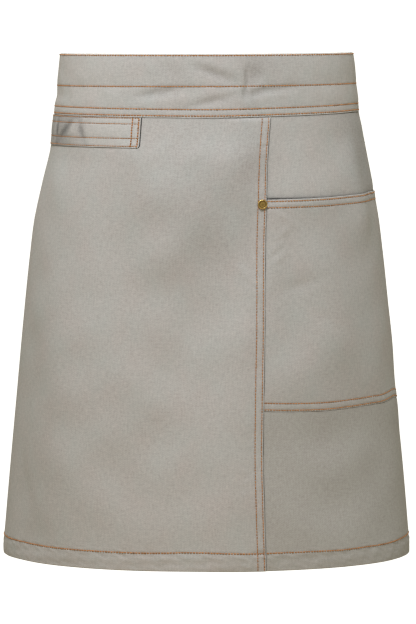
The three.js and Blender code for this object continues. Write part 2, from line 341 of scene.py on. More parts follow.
def groove(distance: Grid, rows: Sequence[float], depth: float = 0.2, width: float = 0.95) -> Grid:
    """How far rows of stitching draw the cloth in: the sum of a bell curve at each row.

    Args:
        distance: Distance of each point from the edge that the rows are measured from.
        rows: Distance of each row from that edge.
        depth: Depth at a row.
        width: Half width of the hollow.

    Returns:
        Heights, all negative.
    """
    return -depth * bell(distance[..., None] - np.asarray(rows, float), width).sum(axis=-1)


def pressed(distance: Grid, rows: Sequence[float]) -> Grid:
    """How much rows of stitching press the cloth, from 0 to 1."""
    return -groove(distance, rows, depth=1.0, width=1.1)


def dents(angle: Grid, drop: Grid, table: Sequence[Dent]) -> Grid:
    """The depth of a table's dents: each is a bell curve along and across a line that leans by its slope."""
    total = np.zeros(np.broadcast_shapes(np.shape(angle), np.shape(drop)))
    for dent in table:
        along = (angle - dent.angle) * MM_PER_DEGREE
        aside = drop - dent.drop - dent.slope * along
        total = total + dent.depth * bell(along, dent.half_length) * bell(aside, dent.half_width)
    return total


def graded(length: float, spots: Sequence[float], fine: float, coarse: float, growth: float = 0.3) -> Grid:
    """Places from 0 to a length, close together at some spots and wider apart away from them.

    The step at a place is fine + growth x its distance to the nearest spot, and at most coarse. One over the
    step is summed along the length, and the places lie at equal shares of that sum.

    Args:
        length: The last place.
        spots: Where the places are closest.
        fine: Step at a spot.
        coarse: Widest step.
        growth: Growth of the step for each millimetre away from a spot.

    Returns:
        Rising places, the first 0 and the last the length.
    """
    line = np.linspace(0.0, length, 4001)
    reach = np.abs(line[:, None] - np.asarray(spots, float)).min(axis=1)
    density = 1.0 / np.minimum(fine + growth * reach, coarse)
    total = np.concatenate([[0.0], np.cumsum((density[1:] + density[:-1]) / 2 * line[1])])
    return np.interp(np.linspace(0.0, total[-1], math.ceil(total[-1]) + 1), total, line)


class CubicTable:
    """A smooth curve through the rows of a table whose first column is the drop."""

    def __init__(self, rows: Sequence[Sequence[float]]) -> None:
        """Keeps the rows as arrays of drops and values."""
        table = np.asarray(rows, float)
        self.drops = table[:, 0]
        self.values = table[:, 1:]

    def __call__(self, drop: Grid | float) -> Grid:
        """The table's other columns at each drop.

        Between two rows it is a cubic whose slope at each row is the mean of the slopes to its neighbours.
        At the ends the curve has no curvature, and beyond them it stays level.

        Args:
            drop: Drops of any shape.

        Returns:
            Values with one more axis, the table's columns.
        """
        knots = self.drops
        last = len(knots) - 1
        at = np.clip(drop, knots[0], knots[-1])
        upper = np.clip(np.searchsorted(knots, at, side="right"), 1, last)
        lower = upper - 1
        before = np.where(lower > 0, lower - 1, upper)
        after = np.where(upper < last, upper + 1, lower)
        start, end = knots[lower], knots[upper]
        half = (end - start) / 2
        pull_before = half / (start - knots[before])
        pull_after = half / (knots[after] - end)
        p = (at - start) / (end - start)
        weights = (
            (before, pull_before * (-(p**3) + 2 * p**2 - p)),
            (lower, (1 + pull_before) * p**3 - (1.5 + 2 * pull_before) * p**2 + (pull_before - 0.5) * p + 1),
            (upper, -(1 + pull_after) * p**3 + (1.5 + pull_after) * p**2 + 0.5 * p),
            (after, pull_after * (p**3 - p**2)),
        )
        return sum(self.values[row] * weight[..., None] for row, weight in weights)


class Ripples:
    """Shallow waves in cloth: a sum of sine waves of lengths, directions and phases drawn from a seed."""

    def __init__(self, seed: int, shortest: float, longest: float, count: int = 10) -> None:
        """Draws the waves.

        Args:
            seed: Seed of the draws.
            shortest: Shortest wave length.
            longest: Longest wave length.
            count: Number of waves.
        """
        draw = np.random.default_rng(seed)
        wave = 2 * np.pi / draw.uniform(shortest, longest, count)
        turn = draw.uniform(0, np.pi, count)
        self.across = wave * np.cos(turn)
        self.down = wave * np.sin(turn)
        self.phase = draw.uniform(0, 2 * np.pi, count)

    def __call__(self, across: Grid, down: Grid | float) -> Grid:
        """The sum of the waves at each place, about 1 high.

        Args:
            across: First coordinate, in millimetres along the cloth.
            down: Second coordinate.

        Returns:
            Heights in the shape of across.
        """
        down = np.broadcast_to(np.asarray(down, float), np.shape(across))
        angle = across[..., None] * self.across + down[..., None] * self.down + self.phase
        return np.sin(angle).sum(axis=-1) / math.sqrt(len(self.phase) / 2)


@dataclass(frozen=True)
class WornForm:
    """The form of the apron when it is worn: the skirt's outer face as a function of angle and drop."""

    length: float = 500.6
    band_height: float = 62.1
    band_end_angle: float = 131.0
    back_dip: float = 6.0  # how far the waist dips behind
    dip_start: float = 90.0
    rise_start: float = 5.0  # the angle from which the cloth rises
    rise_reach: float = 67.0  # the degrees over which it rises
    rise_fade: float = 95.0  # the angle from which that fades out
    back_angle: float = 150.0  # where the rise has gone and the dip is full
    top_angle: float = 130.0
    hem_angle: float = 112.0
    fold_start: float = 45.0
    fold_end_angle: float = 82.0
    fold_fade: float = 20.0  # the degrees that folds take to fade out
    hip_angle: float = 92.0
    hip_reach: float = 30.0
    seam_step: float = 1.05  # how far the cloth is raised where it leaves the waistband's seam
    hem_roll: float = 0.7
    lap_width: float = 12.0
    lap_ramp: float = 46.0
    lap_top_cut: float = 4.0
    pocket_top: float = 141.5
    pocket_bottom: float = 346.5
    pocket_rise: float = 40.0
    hem_height: float = 17.5
    side_hem: float = 11.0
    drape_height: float = 0.35
    sections: CubicTable = CubicTable(SECTIONS)
    seam: CubicTable = CubicTable(SEAM)
    hip_ease: CubicTable = CubicTable(HIP_EASE)
    hip_rise: CubicTable = CubicTable(HIP_RISE)
    drape: Ripples = Ripples(3, 45.0, 120.0)

    def fold_height(self, angle: Grid, drop: Grid) -> Grid:
        """How far the soft folds raise the cloth.

        Each fold is a bell curve across its line, and fades in and out over half its length at its ends.
        Shallow seeded ripples are added, and all of it starts below the waistband and ends before the hips.
        Each hip has its own ease, the cloth leaves the waistband's seam a little raised and is level again
        26 mm below it, and the hem's edge rolls in a little.
        """
        here = np.stack(np.broadcast_arrays(angle * MM_PER_DEGREE, drop), axis=-1)
        total = self.drape_height * self.drape(here[..., 0], here[..., 1])
        for fold in FOLDS:
            start = np.array([fold.from_angle * MM_PER_DEGREE, fold.from_drop])
            along = np.array([fold.to_angle * MM_PER_DEGREE, fold.to_drop]) - start
            reach = np.linalg.norm(along)
            spot = here - start
            share = spot @ along / reach**2
            aside = (spot[..., 0] * along[1] - spot[..., 1] * along[0]) / reach
            total = total + fold.height * window(share, -0.25, 0.25, 0.75, 1.25) * bell(aside, fold.width)
        top = self.band_height
        in_front = 1 - smoothstep(np.abs(angle), self.fold_end_angle - self.fold_fade, self.fold_end_angle)
        below_band = smoothstep(drop, top, top + self.fold_start)
        left, right = np.moveaxis(self.hip_ease(drop), -1, 0)
        at_left = bell(angle + self.hip_angle, self.hip_reach)
        at_right = bell(angle - self.hip_angle, self.hip_reach)
        seam = self.seam_step * window(drop, top - 0.1, top + 0.4, top + 4, top + 26)
        rolled = self.hem_roll * np.clip(1 - (self.length - drop) / self.hem_height, 0, 1) ** 2
        return total * below_band * in_front + left * at_left + right * at_right + seam - rolled

    def hang(self, angle: Grid, drop: Grid) -> Grid:
        """How much higher the cloth hangs towards the hips.

        It rises evenly from near the middle to each hip. Behind the hips that fades out, and there the waist
        dips. The seams and the hem sag or rise in places.
        """
        left, right = np.moveaxis(self.hip_rise(drop), -1, 0)
        around = np.abs(angle)
        aside = np.clip((around - self.rise_start) / self.rise_reach, 0, 1)
        aside = aside * (1 - smoothstep(around, self.rise_fade, self.back_angle))
        dip = self.back_dip * smoothstep(around, self.dip_start, self.back_angle) * (1 - drop / self.length)
        return np.where(angle < 0, left, right) * aside - dip - dents(angle, drop, SAGS)

    def place(self, angle: Grid | float, drop: Grid | float, height: Grid | float) -> Grid:
        """Points at a height off the skirt's outer face.

        The face is an ellipse at each drop, half-width x sin(angle) across and depth x cos(angle) forward. A
        point is moved out along the ellipse's normal by its height and the folds, and up as the cloth hangs.

        Args:
            angle: Angles round the waist.
            drop: Drops, of a shape that broadcasts with angle.
            height: Heights off the face.

        Returns:
            Points, with x, y and z on the last axis.
        """
        within = (np.asarray(angle, float) + 180.0) % 360.0 - 180.0
        angle, drop, height = np.broadcast_arrays(within, np.asarray(drop, float), np.asarray(height, float))
        half_width, front, back = np.moveaxis(self.sections(drop), -1, 0)
        turn = np.radians(angle)
        depth = np.where(np.abs(angle) < 90.0, front, back)
        out_x, out_y = np.sin(turn) / half_width, -np.cos(turn) / depth
        size = np.hypot(out_x, out_y)
        lift = height + self.fold_height(angle, drop)
        x = half_width * np.sin(turn) + lift * out_x / size
        y = -depth * np.cos(turn) + lift * out_y / size
        return np.stack([x, y, self.hang(angle, drop) - drop], axis=-1)

    def axes(self, angle: Grid | float, drop: Grid | float, step: float) -> tuple[Grid, Grid]:
        """The way across the face and the way out of it, from small steps across and down.

        Args:
            angle: Angles round the waist.
            drop: Drops.
            step: Size of a step, in degrees across and in millimetres down.

        Returns:
            The step across, and the unit vector out, which is the cross product of the steps.
        """
        across = self.place(angle + step, drop, 0.0) - self.place(angle - step, drop, 0.0)
        down = self.place(angle, drop + step, 0.0) - self.place(angle, drop - step, 0.0)
        out = np.cross(down, across)
        return across, out / np.linalg.norm(out, axis=-1, keepdims=True)

    def girth(self, start: Grid | float, end: Grid | float, drop: Grid, steps: int) -> Grid:
        """The length round the face between two angles at each drop of a column, over a number of points."""
        return path_along(self.place(lerp(start, end, np.linspace(0, 1, steps)), drop, 0.0), 1)[:, -1]

    def seam_angle(self, drop: Grid | float, inset: Grid | float) -> Grid:
        """The angle of a line that runs a distance inside the lapped edge, towards the middle."""
        x = self.seam(drop)[..., 0] - inset
        return np.degrees(np.arcsin(x / self.sections(drop)[..., 0]))

    def seam_inset(self, angle: Grid, drop: Grid) -> Grid:
        """How far a place is inside the lapped edge, towards the middle."""
        return self.seam(drop)[..., 0] - self.sections(drop)[..., 0] * np.sin(np.radians(angle))

    def skirt_end(self, drop: Grid | float) -> Grid:
        """The angle of the skirt's back edge."""
        return lerp(self.top_angle, self.hem_angle, drop / self.length)

    def side_distance(self, angle: Grid, drop: Grid) -> Grid:
        """How far a place is from the skirt's nearer back edge, along the cloth."""
        depth = self.sections(drop)[..., 2]
        return np.radians(self.skirt_end(drop) - np.abs(angle)) * depth

    def hem_at(self, angle: Grid) -> Grid:
        """The height of the hem's row over the bottom edge.

        It was sewn a little high in the middle and towards each hip, and a little low right of the lap.
        """
        in_front = 1.2 * bell(angle + 2.5, 10.0) - 0.6 * bell(angle - 41.0, 6.0)
        at_hips = 0.9 * smoothstep(-angle, 50.0, 78.0) + 2.4 * smoothstep(angle, 58.0, 84.0)
        return self.hem_height + in_front + at_hips

    def lap_rise(self, drop: Grid | float) -> Grid:
        """How far the front panel is raised at its lap: over the layer under it, and over the pocket too."""
        start, end = self.pocket_top, self.pocket_bottom
        over_panel = smoothstep(drop, self.band_height, self.band_height + self.lap_top_cut)
        over_pocket = window(drop, start - self.pocket_rise, start - GAP, end + GAP, end + self.pocket_rise)
        return LAYER * (over_panel + over_pocket)


def linear(colour: str) -> tuple[float, float, float, float]:
    """Turns an sRGB hex colour into linear red, green, blue and alpha.

    Args:
        colour: Six hex digits after a hash sign.

    Returns:
        Linear values from 0 to 1, with an alpha of 1.
    """
    srgb = np.array([int(colour[i : i + 2], 16) for i in (1, 3, 5)]) / 255.0
    low = srgb / 12.92
    high = ((srgb + 0.055) / 1.055) ** 2.4
    red, green, blue = np.where(srgb <= 0.04045, low, high)
    return float(red), float(green), float(blue), 1.0


class Shading:
    """A new material and its node tree."""

    def __init__(self, name: str) -> None:
        """Makes the material with an empty tree."""
        self.material = bpy.data.materials.new(name)
        self.material.use_nodes = True
        self.tree = self.material.node_tree
        self.tree.nodes.clear()

    def add(self, kind: str, links: Inputs = NOTHING, values: Inputs = NOTHING, **settings: Any) -> Node:
        """Adds a shader node.

        Args:
            kind: Blender's name for the kind of node, without ShaderNode in front.
            links: Sockets that its inputs are linked to.
            values: Values of its other inputs.
            settings: The node's own settings.

        Returns:
            The node.
        """
        node = self.tree.nodes.new("ShaderNode" + kind)
        for name, value in settings.items():
            setattr(node, name, value)
        for name, value in values.items():
            node.inputs[name].default_value = value
        for name, socket in links.items():
            self.tree.links.new(socket, node.inputs[name])
        return node

    def finish(self, links: Inputs, values: Inputs) -> bpy.types.Material:
        """Ends the tree with a shader that has these links and values, and returns the material."""
        shader = self.add("BsdfPrincipled", links, values)
        self.add("OutputMaterial", {"Surface": shader.outputs["BSDF"]})
        return self.material


class Weave(NamedTuple):
    """One pattern of the weave: its size across and down the cloth, and how much it changes the tone."""

    across: float
    down: float
    contrast: float
    detail: float


@dataclass(frozen=True)
class CottonTwill:
    """Cotton work twill, piece dyed and washed once.

    The eye gets a matt face with faint diagonal ribs, threads of uneven thickness, cloudy dye that is warmer
    in places, folded edges that are rubbed a little paler, stitched grooves darkened by dirt and painted
    shade, painted shadow lines and patches of painted shade and light, and a soft sheen of loose fibres
    where the cloth turns away.
    """

    name: str
    colour: str
    warm_colour: str
    rib: float = 1.7  # real ribs are about 0.6 mm apart, and too fine to show, so they are drawn coarser
    rib_contrast: float = 0.07
    rib_lean: float = 58.0
    grain: Weave = Weave(2.0, 2.0, 0.33, 3.0)
    warp: Weave = Weave(1.6, 7.0, 0.31, 2.0)
    weft: Weave = Weave(7.0, 1.6, 0.28, 2.0)
    clouds: Weave = Weave(30.0, 45.0, 0.14, 3.0)
    edge_tone: float = 0.08
    # Stitched grooves are darkened, partly as dirt and partly as painted shade in the hollow.
    groove_dirt_and_shade_tone: float = -0.08
    # Strength of the painted light and shade: painted shadow lines, and patches of painted shade and light.
    painted_light_and_shade_tone: float = -0.62
    relief: float = 0.16  # height of the threads
    sheen: str = "#d8d3c8"

    def material(self) -> bpy.types.Material:
        """Builds the finish: the patterns are summed into one tone that scales the dye's colour.

        Returns:
            The material.
        """
        shading = Shading(self.name)
        uv = shading.add("TexCoord").outputs["UV"]
        scale = (1 / (self.rib * MM),) * 3
        lean = (0, 0, math.radians(self.rib_lean))
        turned = shading.add("Mapping", {"Vector": uv}, {"Rotation": lean, "Scale": scale})
        period = 2 * math.pi / 20  # a wave texture of scale 1 repeats after this length
        waves = {"Scale": period, "Distortion": 1.4, "Detail": 1.0, "Detail Scale": 2.0}
        ribs = shading.add("TexWave", {"Vector": turned.outputs["Vector"]}, waves)
        patterns = [(ribs.outputs["Fac"], self.rib_contrast)]
        for weave in (self.grain, self.warp, self.weft, self.clouds):
            scale = (1 / (weave.across * MM), 1 / (weave.down * MM), 1)
            scaled = shading.add("Mapping", {"Vector": uv}, {"Scale": scale})
            uneven = {"Scale": 1.0, "Detail": weave.detail, "Roughness": 0.6}
            noise = shading.add("TexNoise", {"Vector": scaled.outputs["Vector"]}, uneven)
            patterns.append((noise.outputs["Fac"], weave.contrast))
        threads = self._sum(shading, patterns[:4], 0.0)
        level = 1.0 - sum(contrast for _, contrast in patterns) / 2
        # Rubbed edges are paler, stitched grooves are darkened by dirt and painted shade, and the last tone
        # is painted light and shade.
        tones = {"edge": self.edge_tone, "press": self.groove_dirt_and_shade_tone, "crease": self.painted_light_and_shade_tone}
        for name, contrast in tones.items():
            patterns.append((shading.add("Attribute", attribute_name=name).outputs["Fac"], contrast))
        tone = self._sum(shading, patterns, level)
        colours = {6: linear(self.warm_colour), 7: linear(self.colour)}
        dye = shading.add("Mix", {0: noise.outputs["Fac"]}, colours, data_type="RGBA")
        tinted = {"data_type": "RGBA", "blend_type": "MULTIPLY"}
        tint = shading.add("Mix", {6: dye.outputs[2], 7: tone}, {0: 1.0}, **tinted)
        bump = shading.add("Bump", {"Height": threads}, {"Strength": 0.8, "Distance": self.relief * MM})
        values = {"Roughness": 0.92, "Specular IOR Level": 0.2, "Sheen Weight": 0.12, "Sheen Roughness": 0.5}
        values["Sheen Tint"] = linear(self.sheen)
        return shading.finish({"Base Color": tint.outputs[2], "Normal": bump.outputs["Normal"]}, values)

    @staticmethod
    def _sum(shading: Shading, parts: Sequence[tuple[Socket, float]], start: float) -> Socket:
        """Sums patterns, each times its contrast, onto a start value.

        Args:
            shading: Tree that gets the nodes.
            parts: Each pattern's socket and contrast.
            start: What the sum starts from.

        Returns:
            The socket of the sum.
        """
        total = None
        for pattern, contrast in parts:
            links = {0: pattern} if total is None else {0: pattern, 2: total}
            values = {1: contrast, 2: start} if total is None else {1: contrast}
            total = shading.add("Math", links, values, operation="MULTIPLY_ADD").outputs[0]
        return total


@dataclass(frozen=True)
class TopstitchThread:
    """Spun polyester topstitching thread, dyed copper.

    The eye gets plump stitches of a low gloss that differ a little from each other.
    """

    name: str = "spun_polyester_thread"
    colour: str = "#a77649"
    spread: float = 0.36
    fibre: float = 0.3  # width of a bundle of fibres
    relief: float = 0.1  # height of the fibres

    def material(self) -> bpy.types.Material:
        """Builds the finish: the dye's colour times each stitch's own tone, with a bump of fibres."""
        shading = Shading(self.name)
        shade = shading.add("Attribute", attribute_name="shade").outputs["Fac"]
        spread = {1: self.spread, 2: 1.0 - self.spread / 2}
        tone = shading.add("Math", {0: shade}, spread, operation="MULTIPLY_ADD")
        tinted = {"data_type": "RGBA", "blend_type": "MULTIPLY"}
        tint = shading.add("Mix", {7: tone.outputs[0]}, {0: 1.0, 6: linear(self.colour)}, **tinted)
        place = shading.add("TexCoord").outputs["Object"]
        fibres = shading.add("TexNoise", {"Vector": place}, {"Scale": 1 / (self.fibre * MM), "Detail": 2.0})
        depth = {"Strength": 0.5, "Distance": self.relief * MM}
        bump = shading.add("Bump", {"Height": fibres.outputs["Fac"]}, depth)
        return shading.finish(
            {"Base Color": tint.outputs[2], "Normal": bump.outputs["Normal"]},
            {"Roughness": 0.62, "Specular IOR Level": 0.35, "Sheen Weight": 0.1},
        )


@dataclass(frozen=True)
class AntiqueBrass:
    """Pressed brass, browned and then rubbed, so that raised parts shine and hollows stay dark."""

    name: str = "antique_brass"
    hollow: str = "#4a3a1c"
    polished: str = "#d2b06a"
    stain: float = 1.4  # width of a stain
    contrast: float = 1.7  # how fast the colour goes from hollow to polished

    def material(self) -> bpy.types.Material:
        """Builds the finish: the colour goes from hollow to polished with the mesh's polish and stains."""
        shading = Shading(self.name)
        polish = shading.add("Attribute", attribute_name="polish").outputs["Fac"]
        place = shading.add("TexCoord").outputs["Object"]
        stains = shading.add("TexNoise", {"Vector": place}, {"Scale": 1 / (self.stain * MM), "Detail": 3.0})
        worn = shading.add("Math", {0: polish, 1: stains.outputs["Fac"]}, operation="MULTIPLY").outputs[0]
        scaled = {"operation": "MULTIPLY", "use_clamp": True}
        share = shading.add("Math", {0: worn}, {1: self.contrast}, **scaled).outputs[0]
        colours = {6: linear(self.hollow), 7: linear(self.polished)}
        tint = shading.add("Mix", {0: share}, colours, data_type="RGBA")
        gloss = shading.add("MapRange", {"Value": share}, {"To Min": 0.5, "To Max": 0.27})
        links = {"Base Color": tint.outputs[2], "Roughness": gloss.outputs["Result"]}
        return shading.finish(links, {"Metallic": 1.0})


@dataclass(frozen=True)
class StudioPaper:
    """Matt white studio paper, lit from within so that it stays white in the picture."""

    name: str
    colour: str = "#ffffff"
    glow: float = 0.74

    def material(self) -> bpy.types.Material:
        """Builds the finish: one rough colour and an even glow."""
        white = linear(self.colour)
        glow = {"Emission Color": white, "Emission Strength": self.glow}
        return Shading(self.name).finish({}, {"Base Color": white, "Roughness": 0.9, **glow})


def mesh_object(name: str, points: Grid, faces: Sequence[Index]) -> bpy.types.Object:
    """Makes a smooth mesh at the origin.

    Args:
        name: Name of the object and its mesh.
        points: Points in millimetres, one in each row.
        faces: Arrays of faces, each with one face in a row.

    Returns:
        The object, linked to the scene.
    """
    mesh = bpy.data.meshes.new(name)
    corners = np.concatenate([part.ravel() for part in faces])
    sizes = np.concatenate([np.full(len(part), part.shape[1]) for part in faces])
    mesh.vertices.add(len(points))
    mesh.vertices.foreach_set("co", (points * MM).astype(np.float32).ravel())
    mesh.loops.add(len(corners))
    mesh.loops.foreach_set("vertex_index", corners.astype(np.int32))
    mesh.polygons.add(len(sizes))
    mesh.polygons.foreach_set("loop_start", np.concatenate([[0], np.cumsum(sizes)[:-1]]).astype(np.int32))
    mesh.polygons.foreach_set("use_smooth", np.ones(len(sizes), bool))
    mesh.update(calc_edges=True)
    mesh.validate()
    piece = bpy.data.objects.new(name, mesh)
    bpy.context.scene.collection.objects.link(piece)
    return piece


def add_tone(piece: bpy.types.Object, name: str, values: Grid) -> None:
    """Keeps a number for each vertex on the mesh, for its finish to read."""
    tone = piece.data.attributes.new(name, "FLOAT", "POINT")
    tone.data.foreach_set("value", values.astype(np.float32).ravel())


def quads_of(index: Index) -> Index:
    """The faces of a grid of vertex numbers, facing out where rows go down and columns go right."""
    corners = [index[:-1, :-1], index[1:, :-1], index[1:, 1:], index[:-1, 1:]]
    return np.stack(corners, axis=-1).reshape(-1, 4)


def tube_faces(rings: int, sides: int) -> list[Index]:
    """The faces of a closed tube whose points are its rings in order and then its two ends.

    Args:
        rings: Number of rings.
        sides: Number of points in a ring.

    Returns:
        The faces between the rings, and the faces at the two ends.
    """
    ring = np.arange(rings * sides).reshape(rings, sides)
    closed = np.concatenate([ring, ring[:, :1]], axis=1)
    pole = np.full(sides, rings * sides)
    start = np.stack([closed[0, 1:], pole, closed[0, :-1]], axis=-1)
    end = np.stack([closed[-1, :-1], pole + 1, closed[-1, 1:]], axis=-1)
    return [quads_of(closed), np.concatenate([start, end])]


class ClothFaces(NamedTuple):
    """A sheet of cloth as grids of rows and columns: two faces, flat places, and both faces' tones."""

    outer: Grid
    inner: Grid
    flat: Grid
    tones: Mapping[str, tuple[Grid, Grid]]


def cloth_object(name: str, faces: ClothFaces) -> bpy.types.Object:
    """Makes a closed sheet from an outer and an inner grid that share their rim.

    Args:
        name: Name of the piece.
        faces: The grids. The flat places, in millimetres, become the UV map, in metres.

    Returns:
        The object.
    """
    rows, columns = faces.outer.shape[:2]
    index = np.arange(rows * columns).reshape(rows, columns)
    within = (rows - 2, columns - 2)
    inside = index.copy()
    inside[1:-1, 1:-1] = rows * columns + np.arange(within[0] * within[1]).reshape(within)

    def join(outer: Grid, inner: Grid) -> Grid:
        """The outer grid's rows, and after them the inner grid's without its rim."""
        size = outer.shape[2:]
        return np.concatenate([outer.reshape(-1, *size), inner[1:-1, 1:-1].reshape(-1, *size)])

    quads = np.concatenate([quads_of(index), quads_of(inside)[:, ::-1]])
    piece = mesh_object(name, join(faces.outer, faces.inner), [quads])
    flat = join(faces.flat, faces.flat)[quads.ravel()] * MM
    piece.data.uv_layers.new(name="cloth").data.foreach_set("uv", flat.astype(np.float32).ravel())
    for tone, sides in faces.tones.items():
        add_tone(piece, tone, join(*sides))
    return piece


def path_along(points: Grid, axis: int) -> Grid:
    """The length along a grid's rows or columns, from its first point on.

    Args:
        points: Grid of points.
        axis: 0 to go down the columns, 1 to go along the rows.

    Returns:
        Lengths in the grid's shape.
    """
    steps = np.linalg.norm(np.diff(points, axis=axis), axis=-1)
    first = np.zeros_like(np.take(steps, [0], axis=axis))
    return np.concatenate([first, np.cumsum(steps, axis=axis)], axis=axis)


def rim_distance(across: Grid, down: Grid) -> Grid:
    """How far each point of a grid is from the sheet's nearest edge.

    Args:
        across: Lengths along the rows.
        down: Lengths down the columns.

    Returns:
        Distances in the grid's shape.
    """
    sides = np.minimum(across, across[:, -1:] - across)
    ends = np.minimum(down, down[-1:, :] - down)
    return np.minimum(sides, ends)


def rim_roll(rim: Grid, half: Grid | float) -> Grid:
    """How far a sheet's faces stand off its middle near the rim, as a share of half its thickness.

    The faces roll together in a half circle: the share is the square root of 1 - (1 - d)^2, where d is the
    distance to the rim over half the thickness.

    Args:
        rim: Distances to the rim.
        half: Half the thickness.

    Returns:
        Shares from 0 to 1.
    """
    return np.sqrt(1 - (1 - np.clip(rim / half, 0, 1)) ** 2)


class Cut(NamedTuple):
    """The flat cut of a sheet, in metres: width, length and area."""

    width: float
    length: float
    area: float


class StitchStyle(NamedTuple):
    """How a row of stitching is sewn."""

    pitch: float = 2.85
    length: float = 2.8
    radius: float = 0.58
    lift: float = 0.34


class StitchRow(NamedTuple):
    """A row of stitching: the line that it follows, the way out of the cloth along it, and its style."""

    line: Grid
    out: Grid
    style: StitchStyle


@dataclass
class Stitching:
    """Rows of stitches joined into one piece. Each is a plump thread whose ends dive into the cloth."""

    name: str
    rows: list[StitchRow]
    seed: int
    sides: int = 6
    flatness: float = 0.7  # sewing presses the thread flatter than it is wide
    rings: tuple[float, ...] = (-0.82, -0.32, 0.32, 0.82)  # shares of the half length
    dive: float = 1.6  # how deep the ends go, in lifts below the middle
    wander: float = 0.06  # how far a stitch is off its place along the row
    twist: float = 0.05  # how far its ends are turned aside, as a share of the half length

    def build(self) -> bpy.types.Object:
        """Makes every stitch of every row at once.

        A stitch runs between two points of its row. At a share s of the half length its thread is raised by
        lift x (1 - dive x s^2) and has the radius x the square root of (1 - s^4). Lengths, turns and tones
        differ a little from stitch to stitch.

        Returns:
            The object, with a tone for each stitch.
        """
        draw = np.random.default_rng(self.seed)
        points = np.concatenate([self._stitches(row, draw) for row in self.rows])
        count, size = points.shape[:2]
        shade = np.repeat(draw.uniform(0, 1, count), size)
        first = (np.arange(count) * size)[:, None, None]
        tube = tube_faces(len(self.rings), self.sides)
        faces = [(part + first).reshape(-1, part.shape[1]) for part in tube]
        piece = mesh_object(self.name, points.reshape(-1, 3), faces)
        add_tone(piece, "shade", shade)
        return piece

    def _stitches(self, row: StitchRow, draw: np.random.Generator) -> Grid:
        """The points of one row's stitches.

        Args:
            row: The row.
            draw: Source of the small differences.

        Returns:
            Points of each stitch: the rings and then the two ends.
        """
        style = row.style
        length = np.concatenate([[0.0], np.cumsum(np.linalg.norm(np.diff(row.line, axis=0), axis=1))])
        count = max(1, round(length[-1] / style.pitch))
        middle = (np.arange(count) + 0.5) * length[-1] / count + draw.normal(0, self.wander, count)
        half = style.length / 2 * draw.uniform(0.9, 1.1, count)

        def at(places: Grid, values: Grid) -> Grid:
            """The row's values at lengths along it."""
            return np.stack([np.interp(places, length, values[:, i]) for i in range(3)], axis=-1)

        start, end = at(middle - half, row.line), at(middle + half, row.line)
        along = (end - start) / 2
        out = at(middle, row.out)
        aside = np.cross(along, out)
        aside /= np.linalg.norm(aside, axis=1, keepdims=True)
        up = np.cross(aside, along)
        up /= np.linalg.norm(up, axis=1, keepdims=True)
        along = along + aside * draw.normal(0, self.twist, count)[:, None] * half[:, None]
        centre = (start + end) / 2
        share = np.repeat(np.array(self.rings), self.sides)
        turn = np.tile(np.arange(self.sides) * 2 * np.pi / self.sides, len(self.rings))
        radius = style.radius * np.sqrt(1 - share**4)
        share = np.append(share, [-1.0, 1.0])
        raised = style.lift * (1 - self.dive * share**2)
        height = np.append(self.flatness * radius * np.cos(turn), [0.0, 0.0]) + raised
        breadth = np.append(radius * np.sin(turn), [0.0, 0.0])
        return (
            centre[:, None]
            + along[:, None] * share[:, None]
            + aside[:, None] * breadth[:, None]
            + up[:, None] * height[:, None]
        )


